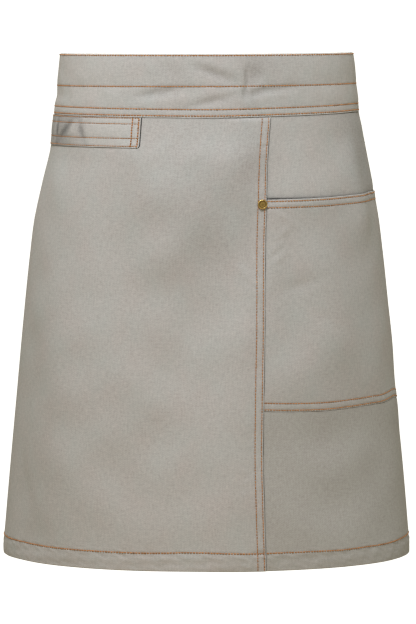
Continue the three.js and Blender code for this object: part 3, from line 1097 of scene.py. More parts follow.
@dataclass
class ClothPiece:
    """A sewn piece of cloth on the worn form, as a grid of shares across it and drops down it."""

    form: WornForm
    finish: bpy.types.Material
    thread: bpy.types.Material
    name: str = ""
    node: str = ""
    slot: Slot = Slot.TWILL
    held: Held = Held.HUNG
    rests_on: tuple[str, ...] = ()
    top: float = 0.0
    bottom: float = 0.0
    coarse: float = 2.5
    fine: float = 0.16
    row_spots: tuple[float, ...] = ()
    column_spots: tuple[float, ...] = ()
    style: StitchStyle = StitchStyle()

    def left(self, drop: Grid) -> Grid:
        """The angle of the left edge."""
        raise NotImplementedError

    def right(self, drop: Grid) -> Grid:
        """The angle of the right edge."""
        raise NotImplementedError

    def outer_height(self, angle: Grid, drop: Grid) -> Grid:
        """The height of the outer face."""
        raise NotImplementedError

    def inner_height(self, angle: Grid, drop: Grid) -> Grid:
        """The height of the inner face."""
        raise NotImplementedError

    def press(self, angle: Grid, drop: Grid) -> Grid:
        """How much stitching presses the cloth, from 0 to 1."""
        raise NotImplementedError

    def crease(self, angle: Grid, drop: Grid) -> Grid:
        """How much painted shade darkens the cloth, as a shadow close to an edge that lies on it, from 0 to
        1.
        """
        return np.zeros(np.broadcast_shapes(np.shape(angle), np.shape(drop)))

    def outside(self, angle: Grid, drop: Grid) -> Grid:
        """Points of the outer face."""
        return self.form.place(angle, drop, self.outer_height(angle, drop))

    def inside(self, angle: Grid, drop: Grid) -> Grid:
        """Points of the inner face."""
        return self.form.place(angle, drop, self.inner_height(angle, drop))

    def build(self) -> bpy.types.Object:
        """Makes the sheet.

        Columns lie at graded shares between the two edges, and rows at graded drops. At the rim the two
        faces roll together.

        Returns:
            The object.
        """
        middle = np.array([[(self.top + self.bottom) / 2]])
        width = self.form.girth(self.left(middle), self.right(middle), middle, 200)[0]
        spots = [spot % width for spot in self.column_spots]
        shares = graded(width, [0.0, width, *spots], self.fine, self.coarse) / width
        height = self.bottom - self.top
        spots = [spot - self.top for spot in self.row_spots]
        rows = self.top + graded(height, [0.0, height, *spots], self.fine, self.coarse)
        drop = np.repeat(rows[:, None], len(shares), axis=1)
        angle = lerp(self.left(drop), self.right(drop), shares)
        outer, inner = self.outer_height(angle, drop), self.inner_height(angle, drop)
        bare = self.form.place(angle, drop, outer)
        across = path_along(bare, 1)
        rim = rim_distance(across, path_along(bare, 0))
        half, mid = (outer - inner) / 2, (outer + inner) / 2
        off = half * rim_roll(rim, half)
        edge, press, crease = bell(rim, EDGE_WEAR), self.press(angle, drop), self.crease(angle, drop)
        # Only the outer face gets the painted light and shade.
        grids = ClothFaces(
            self.form.place(angle, drop, mid + off),
            self.form.place(angle, drop, mid - off),
            np.stack([across - across[:, [len(shares) // 2]], -drop], axis=-1),
            {"edge": (edge, edge), "press": (press, press), "crease": (crease, np.zeros_like(crease))},
        )
        return cloth_object(self.name, grids)

    def cut(self) -> Cut:
        """The sheet's flat cut: its widest width, its length, and the area between its edges, in metres."""
        drop = np.linspace(self.top, self.bottom, 60)[:, None]
        widths = self.form.girth(self.left(drop), self.right(drop), drop, 160)
        length = self.bottom - self.top
        return Cut(widths.max() * MM, length * MM, widths.mean() * length * MM * MM)

    def row_down(self, angle_at: AngleAt, start: float, end: float, inside: bool = False) -> StitchRow:
        """A row of stitching down the piece, at an angle for each drop, on the outer or the inner face."""
        drop = np.linspace(start, end, max(8, int(abs(end - start) * 2)))
        return self.row_on(angle_at(drop), drop, inside)

    def row_across(self, drop: float, start: float, end: float, inside: bool = False) -> StitchRow:
        """A level row of stitching from one angle to another, on the outer or the inner face."""
        angle = np.linspace(start, end, max(8, int(abs(end - start) * 6)))
        return self.row_on(angle, np.full_like(angle, drop), inside)

    def row_on(self, angle: Grid, drop: Grid, inside: bool = False) -> StitchRow:
        """A row of stitching along a line on one of the faces.

        Args:
            angle: Angles along the row.
            drop: Drops along the row.
            inside: True for the inner face.

        Returns:
            The row.
        """
        face = self.inside if inside else self.outside
        _, out = self.form.axes(angle, drop, 0.5)
        return StitchRow(face(angle, drop), -out if inside else out, self.style)

    def stitch_rows(self) -> list[StitchRow]:
        """The piece's own rows of stitching."""
        raise NotImplementedError

    def dress(self) -> None:
        """Builds the sheet and its stitching, gives them their finishes and hands them to the frame."""
        piece = self.build()
        piece.data.materials.append(self.finish)
        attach(piece, BODY)
        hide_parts(self.node)
        rows = self.stitch_rows()
        stitches = Stitching(f"{self.name}_stitching", rows, seed=len(self.name)).build()
        stitches.data.materials.append(self.thread)
        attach(stitches, BODY)
        LOG.info("%s: %d rows of stitching", stitches.name, len(rows))
        cut = self.cut()
        faces = len(piece.data.polygons)
        LOG.info("%s: %d faces, cut %.3f x %.3f m", piece.name, faces, cut.width, cut.length)


@dataclass
class SkirtPanel(ClothPiece):
    """A panel of the skirt, with its bottom hem and its side hem turned in."""

    hem_waves: Ripples = Ripples(11, 7.0, 19.0)
    lap_shadow_waves: Ripples = Ripples(37, 18.0, 70.0)
    hem_style: StitchStyle = StitchStyle(2.85, 2.7, 0.74, 0.35)
    hem_swell: float = 0.15
    hem_roping: float = 0.26
    side_swell: float = 0.2
    turn_edge: float = 0.6  # how wide the step is at the edge of a turned hem

    def right(self, drop: Grid) -> Grid:
        """The right back edge."""
        return self.form.skirt_end(drop)

    def inner_height(self, angle: Grid, drop: Grid) -> Grid:
        """One layer inside the outer face, and another in the hems."""
        return self.outer_height(angle, drop) - CLOTH - self.hem_layer(angle, drop)

    def press(self, angle: Grid, drop: Grid) -> Grid:
        """Pressed along the hem's row and the side hem's row."""
        hem = pressed(self.form.length - drop - self.form.hem_at(angle), (0.0,))
        return hem + pressed(self.form.side_distance(angle, drop), (SIDE_ROW,))

    def hem_relief(self, angle: Grid, drop: Grid) -> Grid:
        """The turned hem from outside: its row draws it in, it swells below that, and sewing ropes it."""
        up = self.form.length - drop
        height = self.form.hem_at(angle)
        across = angle * MM_PER_DEGREE
        aslant = self.hem_waves(across + 0.8 * up, up)
        roped = self.hem_roping * aslant * bell(up - height * 0.6, height * 0.5)
        return groove(up - height, (0.0,)) + self.hem_swell * arch(up / height, 0.0, 1.0) + roped

    def side_relief(self, angle: Grid, drop: Grid) -> Grid:
        """The turned side hem from outside, which its row of stitching draws in."""
        side = self.form.side_distance(angle, drop)
        below_band = smoothstep(drop, self.form.band_height, self.form.band_height + 4)
        return (groove(side, (SIDE_ROW,)) + self.side_swell * arch(side, 0.0, SIDE_ROW)) * below_band

    def band_edge_painted_shadow(self, angle: Grid, drop: Grid) -> Grid:
        """A painted shadow line right below the waistband's lower edge, darker at the right."""
        return lerp(0.45, 0.95, smoothstep(angle, -6, 10)) * bell(drop - self.form.band_height - 0.3, 0.5)

    def lap_edge_painted_shadow(self, angle: Grid, drop: Grid) -> Grid:
        """A painted shadow line right beside the front panel's lapped edge, darker here and there."""
        uneven = 0.75 + 0.25 * np.tanh(self.lap_shadow_waves(drop, 0.0))
        return 1.5 * bell(self.form.seam_inset(angle, drop) + 0.4, 0.55) * uneven

    def hem_layer(self, angle: Grid, drop: Grid) -> Grid:
        """The thickness that the turned hems add inside."""
        side = self.form.side_distance(angle, drop)
        below_band = smoothstep(drop, self.form.band_height, self.form.band_height + 1)
        turned = 1 - smoothstep(side, self.form.side_hem - self.turn_edge, self.form.side_hem)
        over = self.form.length - drop - self.form.hem_at(angle)
        hem = 1 - smoothstep(over, 0.0, self.turn_edge)
        return CLOTH * np.maximum(hem, turned * below_band)

    def lap_rows(self, start: float, end: float, inside: bool = False) -> list[StitchRow]:
        """The two rows of stitching down the lap between two drops, on the outer or the inner face."""
        at = self.form.seam_angle
        return [self.row_down(lambda drop, row=row: at(drop, row), start, end, inside) for row in LAP_ROWS]

    def level_rows(self, drops: Sequence[float], inside: bool = False) -> list[StitchRow]:
        """Level rows of stitching from the lap to the right back edge, one for each drop."""
        spans = [(drop, self.form.seam_angle(drop, -0.8), self.form.skirt_end(drop) - 0.5) for drop in drops]
        return [self.row_across(*span, inside) for span in spans]

    def side_rows(self, sign: int, start: float, end: float) -> list[StitchRow]:
        """The side hem's row of stitching, outside and inside.

        Args:
            sign: -1 for the left back edge and 1 for the right one.
            start: Drop where the rows start.
            end: Drop where the rows end.

        Returns:
            Two rows.
        """

        def angle_at(drop: Grid) -> Grid:
            """The row's angle."""
            depth = self.form.sections(drop)[..., 2]
            return sign * (self.form.skirt_end(drop) - np.degrees(SIDE_ROW / depth))

        return [self.row_down(angle_at, start, end, inside) for inside in (False, True)]

    def hem_rows(self, start: float, end: float, inner_end: float) -> list[StitchRow]:
        """The hem's row of stitching, outside and inside.

        Args:
            start: Angle where the rows start.
            end: Angle where the outer row ends.
            inner_end: Angle where the inner row ends.

        Returns:
            Two rows.
        """
        rows = []
        for last, inside in ((end, False), (inner_end, True)):
            angle = np.linspace(start, last, 900)
            row = self.row_on(angle, self.form.length - self.form.hem_at(angle), inside)
            rows.append(row._replace(style=self.hem_style))
        return rows


@dataclass
class FrontPanel(SkirtPanel):
    """The plain front panel. Its right edge is lapped over the pocket's side and sewn down with two rows."""

    name: str = "front_cloth"
    node: str = "front_panel"
    rests_on: tuple[str, ...] = ("waistband",)
    top: float = 52.0
    bottom: float = 500.6
    coarse: float = 2.9
    row_spots: tuple[float, ...] = (62.5, 92.3, 481.9, 483.1)
    column_spots: tuple[float, ...] = (9.0, 261.8, 262.6, 263.4, 264.2, 265.0, -1.6, -8.0, -14.0)
    style: StitchStyle = StitchStyle(2.85, 2.85, 0.5, 0.32)
    loop: "TowelLoop | None" = None
    lap_waves: Ripples = Ripples(5, 6.0, 16.0)
    lap_swell: float = 0.08
    pucker: float = 0.14
    loop_step: float = 0.6

    def left(self, drop: Grid) -> Grid:
        """The left back edge."""
        return -self.form.skirt_end(drop)

    def right(self, drop: Grid) -> Grid:
        """The lapped edge."""
        return self.form.seam_angle(drop, 0.0)

    def outer_height(self, angle: Grid, drop: Grid) -> Grid:
        """The lap's rise, the two rows that draw it in, their puckers, the hems and small creases.

        The cloth comes out from under the loop a little raised.
        """
        form, loop = self.form, self.loop
        inset = form.seam_inset(angle, drop)
        on_lap = 1 - smoothstep(inset, form.lap_width + GAP, form.lap_width + form.lap_ramp)
        pucker = self.pucker * self.lap_waves(drop, inset * 0.5) * bell(inset - 6, 8.0)
        lap = groove(inset, LAP_ROWS) + self.lap_swell * arch(inset, *LAP_ROWS) + pucker
        below_band = smoothstep(drop, form.band_height, form.band_height + 6)
        hems = self.hem_relief(angle, drop) + self.side_relief(angle, drop)
        step = self.loop_step * window(drop - loop.bottom, 0.0, 0.5, 3.0, 18.0)
        step = step * smoothstep(loop.end_distance(angle, drop), -2.0, 3.0)
        step = step * smoothstep(angle, loop.back_angle - 1.0, loop.back_angle + 1.0)
        small = hems + step - dents(angle, drop, FRONT_DENTS)
        return form.lap_rise(drop) * on_lap + lap * below_band + small

    def inner_height(self, angle: Grid, drop: Grid) -> Grid:
        """One layer inside the outer face, and another in the hems but not in the lap."""
        inset = self.form.seam_inset(angle, drop)
        off_lap = smoothstep(inset, self.form.lap_width + GAP, self.form.lap_width + 1)
        return self.outer_height(angle, drop) - CLOTH - self.hem_layer(angle, drop) * off_lap

    def press(self, angle: Grid, drop: Grid) -> Grid:
        """Pressed along the lap's rows, the hem's row and the side hem's row."""
        return pressed(self.form.seam_inset(angle, drop), LAP_ROWS) + super().press(angle, drop)

    def crease(self, angle: Grid, drop: Grid) -> Grid:
        """Painted shadow lines below the waistband and beside the loop's end, and patches of painted shade.
        """
        low, end = self.loop.bottom, self.loop.end_distance(angle, drop)
        # Painted shadow: a dark line beside the loop's end.
        beside = 1.7 * bell(end + 0.4, 0.55) * (1 - smoothstep(drop, low - 1, low + 1))
        lines = self.band_edge_painted_shadow(angle, drop) * (1 - smoothstep(end, -1.0, 1.0)) + beside
        return np.clip(lines, 0, DARKEST) + dents(angle, drop, FRONT_PAINTED_SHADE)

    def stitch_rows(self) -> list[StitchRow]:
        """The lap's two rows, the hem's row, the side hem's row, and inside the rows that hold the loop."""
        form = self.form
        rows = self.lap_rows(form.band_height + 0.8, form.length - 0.6)
        hem = form.length - form.hem_height
        inner_end = form.seam_angle(hem, form.lap_width + 2)
        rows += self.hem_rows(0.6 - form.skirt_end(hem), form.seam_angle(hem, 0.8), inner_end)
        rows += self.side_rows(-1, form.band_height + 1, form.length - 1)
        low, high = self.loop.top + 0.6, self.loop.bottom - 0.6
        return rows + [self.row_down(line, low, high, inside=True) for line in self.loop.bar_lines()]


@dataclass
class SidePanel(SkirtPanel):
    """The cloth behind the pocket, from under the lap to the right back edge."""

    name: str = "side_cloth"
    node: str = "side_panel"
    rests_on: tuple[str, ...] = ("waistband",)
    top: float = 52.0
    bottom: float = 334.2
    coarse: float = 3.2
    row_spots: tuple[float, ...] = (62.5, 66.6, 67.4, 68.2, 69.0, 69.8, 139.6, 141.2)
    column_spots: tuple[float, ...] = (1.2, 2.6, 4.0, 5.4, 6.8, 8.2, 9.6, 11.0, 12.3, 13.0, 13.7, -9.0)

    def left(self, drop: Grid) -> Grid:
        """The edge under the lap, whose tucked corner is cut away."""
        start = self.form.band_height + self.form.lap_top_cut
        cut = smoothstep(drop, start, start + self.form.lap_top_cut)
        return self.form.seam_angle(drop, lerp(-GAP, self.form.lap_width, cut))

    def outer_height(self, angle: Grid, drop: Grid) -> Grid:
        """The plain face, drawn in by the side hem's row above the pocket."""
        above_pocket = 1 - smoothstep(drop, self.form.pocket_top - 8, self.form.pocket_top)
        return self.side_relief(angle, drop) * above_pocket

    def crease(self, angle: Grid, drop: Grid) -> Grid:
        """Painted shadow lines below the waistband, beside the lap and above the pocket's mouth, mostly near
        the lap, and patches of painted shade and light.
        """
        aside = -self.form.seam_inset(angle, drop)
        above = drop - self.form.pocket_top
        # Painted shadow above the pocket's mouth: a dark line and a softer, wider shade, strongest near the
        # lap.
        near_lap = 0.3 + 0.95 * np.exp(-np.abs(aside) / 35.0)
        mouth = near_lap * (1.1 * bell(above + 0.5, 1.0) + 0.3 * bell(above + 1.4, 2.6))
        lines = self.band_edge_painted_shadow(angle, drop) + self.lap_edge_painted_shadow(angle, drop) + mouth
        return np.clip(lines, 0, DARKEST) + dents(angle, drop, SIDE_PAINTED_LIGHT_AND_SHADE)

    def stitch_rows(self) -> list[StitchRow]:
        """The side hem's row, outside above the pocket and inside all the way, and the lap's rows inside."""
        form = self.form
        outer = self.side_rows(1, form.band_height + 1, form.pocket_top - 1)[0]
        inner = self.side_rows(1, form.band_height + 1, self.bottom - 1)[1]
        corner = form.band_height + 2 * form.lap_top_cut
        return [outer, inner, *self.lap_rows(corner + 1, self.bottom - 1, inside=True)]


@dataclass
class LowerPanel(SkirtPanel):
    """The darker cloth below the pocket, from under the lap to the right back edge."""

    name: str = "lower_cloth"
    node: str = "lower_panel"
    slot: Slot = Slot.SHADE_TWILL
    rests_on: tuple[str, ...] = ("patch_pocket", "front_panel")
    top: float = 334.5
    bottom: float = 500.6
    row_spots: tuple[float, ...] = (346.9, 483.1)
    column_spots: tuple[float, ...] = (12.2, 12.8, 13.4, -9.0)
    seam_step: float = 1.1

    def left(self, drop: Grid) -> Grid:
        """The edge under the lap."""
        return self.form.seam_angle(drop, self.form.lap_width)

    def outer_height(self, angle: Grid, drop: Grid) -> Grid:
        """The hems' relief, clear of the lap and the pocket. The cloth leaves the pocket's seam raised."""
        clear = smoothstep(-self.form.seam_inset(angle, drop), 0.5, 4.0)
        start = self.form.pocket_bottom
        below = smoothstep(drop, start, start + 6)
        seam = self.seam_step * window(drop, start - 0.1, start + 0.4, start + 4, start + 36)
        return (self.hem_relief(angle, drop) + self.side_relief(angle, drop)) * clear * below + seam

    def crease(self, angle: Grid, drop: Grid) -> Grid:
        """Painted shadow lines beside the lap and below the pocket."""
        below = bell(drop - self.form.pocket_bottom - 0.4, 0.8)
        return np.clip(0.9 * self.lap_edge_painted_shadow(angle, drop) + 0.1 * below, 0, 1)

    def stitch_rows(self) -> list[StitchRow]:
        """The hem's row and the side hem's row, and inside the lap's rows and the pocket's bottom rows."""
        form = self.form
        hem = form.length - form.hem_height
        end = form.skirt_end(hem) - 0.6
        rows = self.hem_rows(form.seam_angle(hem, -1.0), end, end)
        rows += self.side_rows(1, form.pocket_bottom + 1, form.length - 1)
        rows += self.lap_rows(self.top + 1, form.length - 1, inside=True)
        return rows + self.level_rows([form.pocket_bottom - row for row in POCKET_SEAM_ROWS], inside=True)


@dataclass
class PatchPocket(SkirtPanel):
    """The pocket's front. It swells between its sewn edges, and its mouth is a little open."""

    name: str = "pocket_cloth"
    node: str = "patch_pocket"
    held: Held = Held.LAID
    rests_on: tuple[str, ...] = ("side_panel",)
    top: float = 141.5
    bottom: float = 346.5
    coarse: float = 2.2
    row_spots: tuple[float, ...] = (143.3, 149.4, 338.3, 344.8)
    column_spots: tuple[float, ...] = (8.2, 8.8, 9.4, 12.0, -9.0)
    under_lap: float = 8.0
    puff: float = 1.1
    mouth_lift: float = 1.6
    mouth_rows: tuple[float, ...] = (1.8, 7.9)
    waves: Ripples = Ripples(17, 6.0, 17.0)
    mouth_swell: float = 0.25
    base_swell: float = 0.2
    pucker: float = 0.12
    tight: tuple[float, float] = (28.0, 66.0)  # angles over which the mouth comes to lie tight

    def left(self, drop: Grid) -> Grid:
        """The edge under the lap."""
        return self.form.seam_angle(drop, self.under_lap)

    def inner_height(self, angle: Grid, drop: Grid) -> Grid:
        """The swell, the mouth's lift and small creases.

        The swell is half a sine wave of the square root of the share across, times one down the pocket. The
        mouth is drawn tight over the hip.
        """
        start = self.form.seam_angle(drop, -1.0)
        across = np.clip((angle - start) / (self.form.skirt_end(drop) - start), 0, 1)
        down = np.clip((drop - self.top) / (self.bottom - self.top), 0, 1)
        lift = self.mouth_lift * (1 - smoothstep(angle, *self.tight))
        swell = self.puff * np.sin(np.pi * down) + lift * (1 - down) ** 6
        return GAP + np.sin(np.pi * np.sqrt(across)) * swell - dents(angle, drop, POCKET_DENTS)

    def outer_height(self, angle: Grid, drop: Grid) -> Grid:
        """One layer over the inner face, with the turned mouth's and the bottom's rows drawn in."""
        from_mouth, from_bottom = drop - self.top, self.bottom - drop
        clear = smoothstep(-self.form.seam_inset(angle, drop), -0.5, 3.0)
        mouth = groove(from_mouth, self.mouth_rows) + self.mouth_swell * arch(from_mouth, *self.mouth_rows)
        base = groove(from_bottom, POCKET_SEAM_ROWS) + self.base_swell * arch(from_bottom, *POCKET_SEAM_ROWS)
        at_seams = bell(from_mouth - 8, 9.0) + bell(from_bottom - 6, 9.0)
        pucker = self.pucker * self.waves(angle * MM_PER_DEGREE, drop * 0.5) * at_seams
        relief = (mouth + base + pucker) * clear + self.side_relief(angle, drop)
        return self.inner_height(angle, drop) + CLOTH + relief

    def press(self, angle: Grid, drop: Grid) -> Grid:
        """Pressed along the mouth's and the bottom's rows."""
        return pressed(drop - self.top, self.mouth_rows) + pressed(self.bottom - drop, POCKET_SEAM_ROWS)

    def crease(self, angle: Grid, drop: Grid) -> Grid:
        """A painted shadow line beside the lap."""
        return np.clip(0.75 * self.lap_edge_painted_shadow(angle, drop), 0, 1)

    def stitch_rows(self) -> list[StitchRow]:
        """Two rows along the mouth, two along the bottom and the side hem's row."""
        drops = [self.top + row for row in self.mouth_rows] + [self.bottom - row for row in POCKET_SEAM_ROWS]
        return self.level_rows(drops) + self.side_rows(1, self.top + 1, self.bottom - 1)[:1]


@dataclass
class TowelLoop(ClothPiece):
    """A doubled strap under the waistband, sewn down at both ends, that lies close round the hip."""

    name: str = "loop_cloth"
    node: str = "towel_loop"
    held: Held = Held.FOLDED
    rests_on: tuple[str, ...] = ("front_panel",)
    top: float = 62.4
    bottom: float = 91.6
    coarse: float = 1.4
    row_spots: tuple[float, ...] = (62.8, 68.4, 82.4, 90.1)
    column_spots: tuple[float, ...] = (-1.8, -8.3)
    thickness: float = 1.0
    swell: float = 0.2
    end_inset: float = 63.0
    end_slant: float = 2.0
    corner: float = 2.5
    back_angle: float = -113.0
    puff: float = 0.3
    rows: tuple[float, ...] = (0.4, 6.0, 20.0, 27.7)
    end_rows: tuple[float, ...] = (1.8, 8.3)
    style: StitchStyle = StitchStyle(2.85, 2.8, 0.39, 0.27)
    bar: StitchStyle = StitchStyle(2.7, 2.5, 0.78, 0.44)
    # Painted shade in the gathers' creases and painted highlight on their ridges.
    gather_painted_shade: float = 0.64
    ridge_painted_highlight: float = -0.24
    tone_spread: float = 1.3  # a gather's painted shade or highlight is this much wider than its form

    def left(self, drop: Grid) -> Grid:
        """The hidden end, past the hip."""
        return np.full(np.shape(drop), self.back_angle)

    def right(self, drop: Grid | float) -> Grid:
        """The end in front, which slants a little and has a round lower corner."""
        x = -self.end_inset - self.end_slant * (drop - self.top) / (self.bottom - self.top)
        low = np.clip((drop - self.bottom) / self.corner + 1, 0, 1)
        x = x - self.corner * (1 - np.sqrt(1 - low**2))
        return np.degrees(np.arcsin(x / self.form.sections(drop)[..., 0]))

    def end_distance(self, angle: Grid, drop: Grid) -> Grid:
        """How far a place is from the end in front, along the strap."""
        half_width, front, _ = np.moveaxis(self.form.sections(drop), -1, 0)
        turn = np.radians((angle + self.right(drop)) / 2)
        step = np.hypot(half_width * np.cos(turn), front * np.sin(turn))
        return np.radians(self.right(drop) - angle) * step

    def gathers(self, angle: Grid, drop: Grid, spread: float = 1.0) -> list[Grid]:
        """A bell curve across each gather's leaning line, spread by a factor."""
        lean = drop - (self.top + self.bottom) / 2
        return [bell(angle - one.angle - one.lean * lean, spread * one.half_width) for one in LOOP_GATHERS]

    def inner_height(self, angle: Grid, drop: Grid) -> Grid:
        """The slack of the strap and its gathers, both highest along its middle."""
        share = np.clip((angle - self.back_angle) / (self.right(drop) - self.back_angle), 0, 1)
        down = np.clip((drop - self.top) / (self.bottom - self.top), 0, 1)
        curves = zip(LOOP_GATHERS, self.gathers(angle, drop))
        gathers = sum(gather.height * curve for gather, curve in curves)
        return GAP + (self.puff * np.sin(np.pi * share) + gathers) * np.sin(np.pi * down)

    def outer_height(self, angle: Grid, drop: Grid) -> Grid:
        """Two layers pressed to the thickness of one, over the inner face, drawn in by their stitching."""
        down, end = drop - self.top, self.end_distance(angle, drop)
        rows = groove(down, self.rows, 0.22) + self.swell * arch(down, self.rows[1], self.rows[2])
        return self.inner_height(angle, drop) + self.thickness + rows + groove(end, self.end_rows, 0.3)

    def press(self, angle: Grid, drop: Grid) -> Grid:
        """Pressed along the rows of stitching."""
        ends = pressed(self.end_distance(angle, drop), self.end_rows)
        return ends + pressed(drop - self.top, self.rows)

    def crease(self, angle: Grid, drop: Grid) -> Grid:
        """Painted shade where the strap bends round the hip and in its creases, and painted highlights on
        its ridges and in front.
        """
        tones = [self.gather_painted_shade if gather.height < 0 else self.ridge_painted_highlight for gather in LOOP_GATHERS]
        curves = zip(tones, self.gathers(angle, drop, self.tone_spread))
        lines = sum(tone * curve for tone, curve in curves)
        inner = 0.4 + 0.6 * arch(drop, self.top + self.rows[1], self.top + self.rows[2])
        # Painted shade where the strap bends round the hip, fading out again further back.
        bend_painted_shade = 0.35 * smoothstep(-angle, 49.0, 65.0) + 0.08 * smoothstep(-angle, 66.0, 76.0)
        bend_painted_shade = bend_painted_shade * (1 - smoothstep(-angle, 90.0, 106.0))
        # Painted light: the strap is paler in front.
        return bend_painted_shade - 0.14 * smoothstep(angle, -52.0, -44.0) + lines * inner

    def stitch_rows(self) -> list[StitchRow]:
        """Four rows along the strap, and two dense rows across each end."""
        drops = [self.top + row for row in self.rows]
        rows = [self.row_across(drop, self.back_angle + 0.5, self.right(drop) - 0.5) for drop in drops]
        bars = [self.row_down(line, self.top + 0.6, self.bottom - 0.6) for line in self.bar_lines()]
        return rows + [bar._replace(style=self.bar) for bar in bars]

    def bar_lines(self) -> list[AngleAt]:
        """The dense rows across the two ends, each as its angle at a drop.

        Returns:
            For each row, the one at the end in front and then the one at the hidden end.
        """
        per_degree = self.form.sections(self.top)[0] * math.pi / 180
        lines: list[AngleAt] = []
        for row in self.end_rows:
            front = row / per_degree * 1.06  # the strap is a little aslant there
            back = row / per_degree / math.cos(math.radians(self.back_angle) + math.pi / 2)
            lines.append(lambda drop, turn=front: self.right(drop) - turn)
            lines.append(lambda drop, turn=back: self.left(drop) + turn)
        return lines


@dataclass
class BackTie(ClothPiece):
    """A plain strap that goes into the folded ends of the waistband and across the back."""

    name: str = "tie_cloth"
    node: str = "back_tie"
    held: Held = Held.STRETCHED
    rests_on: tuple[str, ...] = ("waistband",)
    top: float = 15.0
    bottom: float = 47.0
    coarse: float = 2.6
    row_spots: tuple[float, ...] = (17.5, 44.5)
    insert: float = 10.0
    rows: tuple[float, ...] = (2.5, 29.5)

    def left(self, drop: Grid) -> Grid:
        """The end in the waistband's right end."""
        return np.full(np.shape(drop), self.form.band_end_angle - self.insert)

    def right(self, drop: Grid) -> Grid:
        """The end in the waistband's left end."""
        return 360.0 - self.left(drop)

    def outer_height(self, angle: Grid, drop: Grid) -> Grid:
        """The plain face, drawn in along its rows of stitching."""
        return groove(drop - self.top, self.rows)

    def inner_height(self, angle: Grid, drop: Grid) -> Grid:
        """One layer inside the outer face."""
        return np.full(np.broadcast_shapes(np.shape(angle), np.shape(drop)), -CLOTH)

    def press(self, angle: Grid, drop: Grid) -> Grid:
        """Pressed along the rows of stitching."""
        return pressed(drop - self.top, self.rows)

    def stitch_rows(self) -> list[StitchRow]:
        """One row along each edge."""
        start, end = self.form.band_end_angle + 0.5, 359.5 - self.form.band_end_angle
        return [self.row_across(self.top + row, start, end) for row in self.rows]


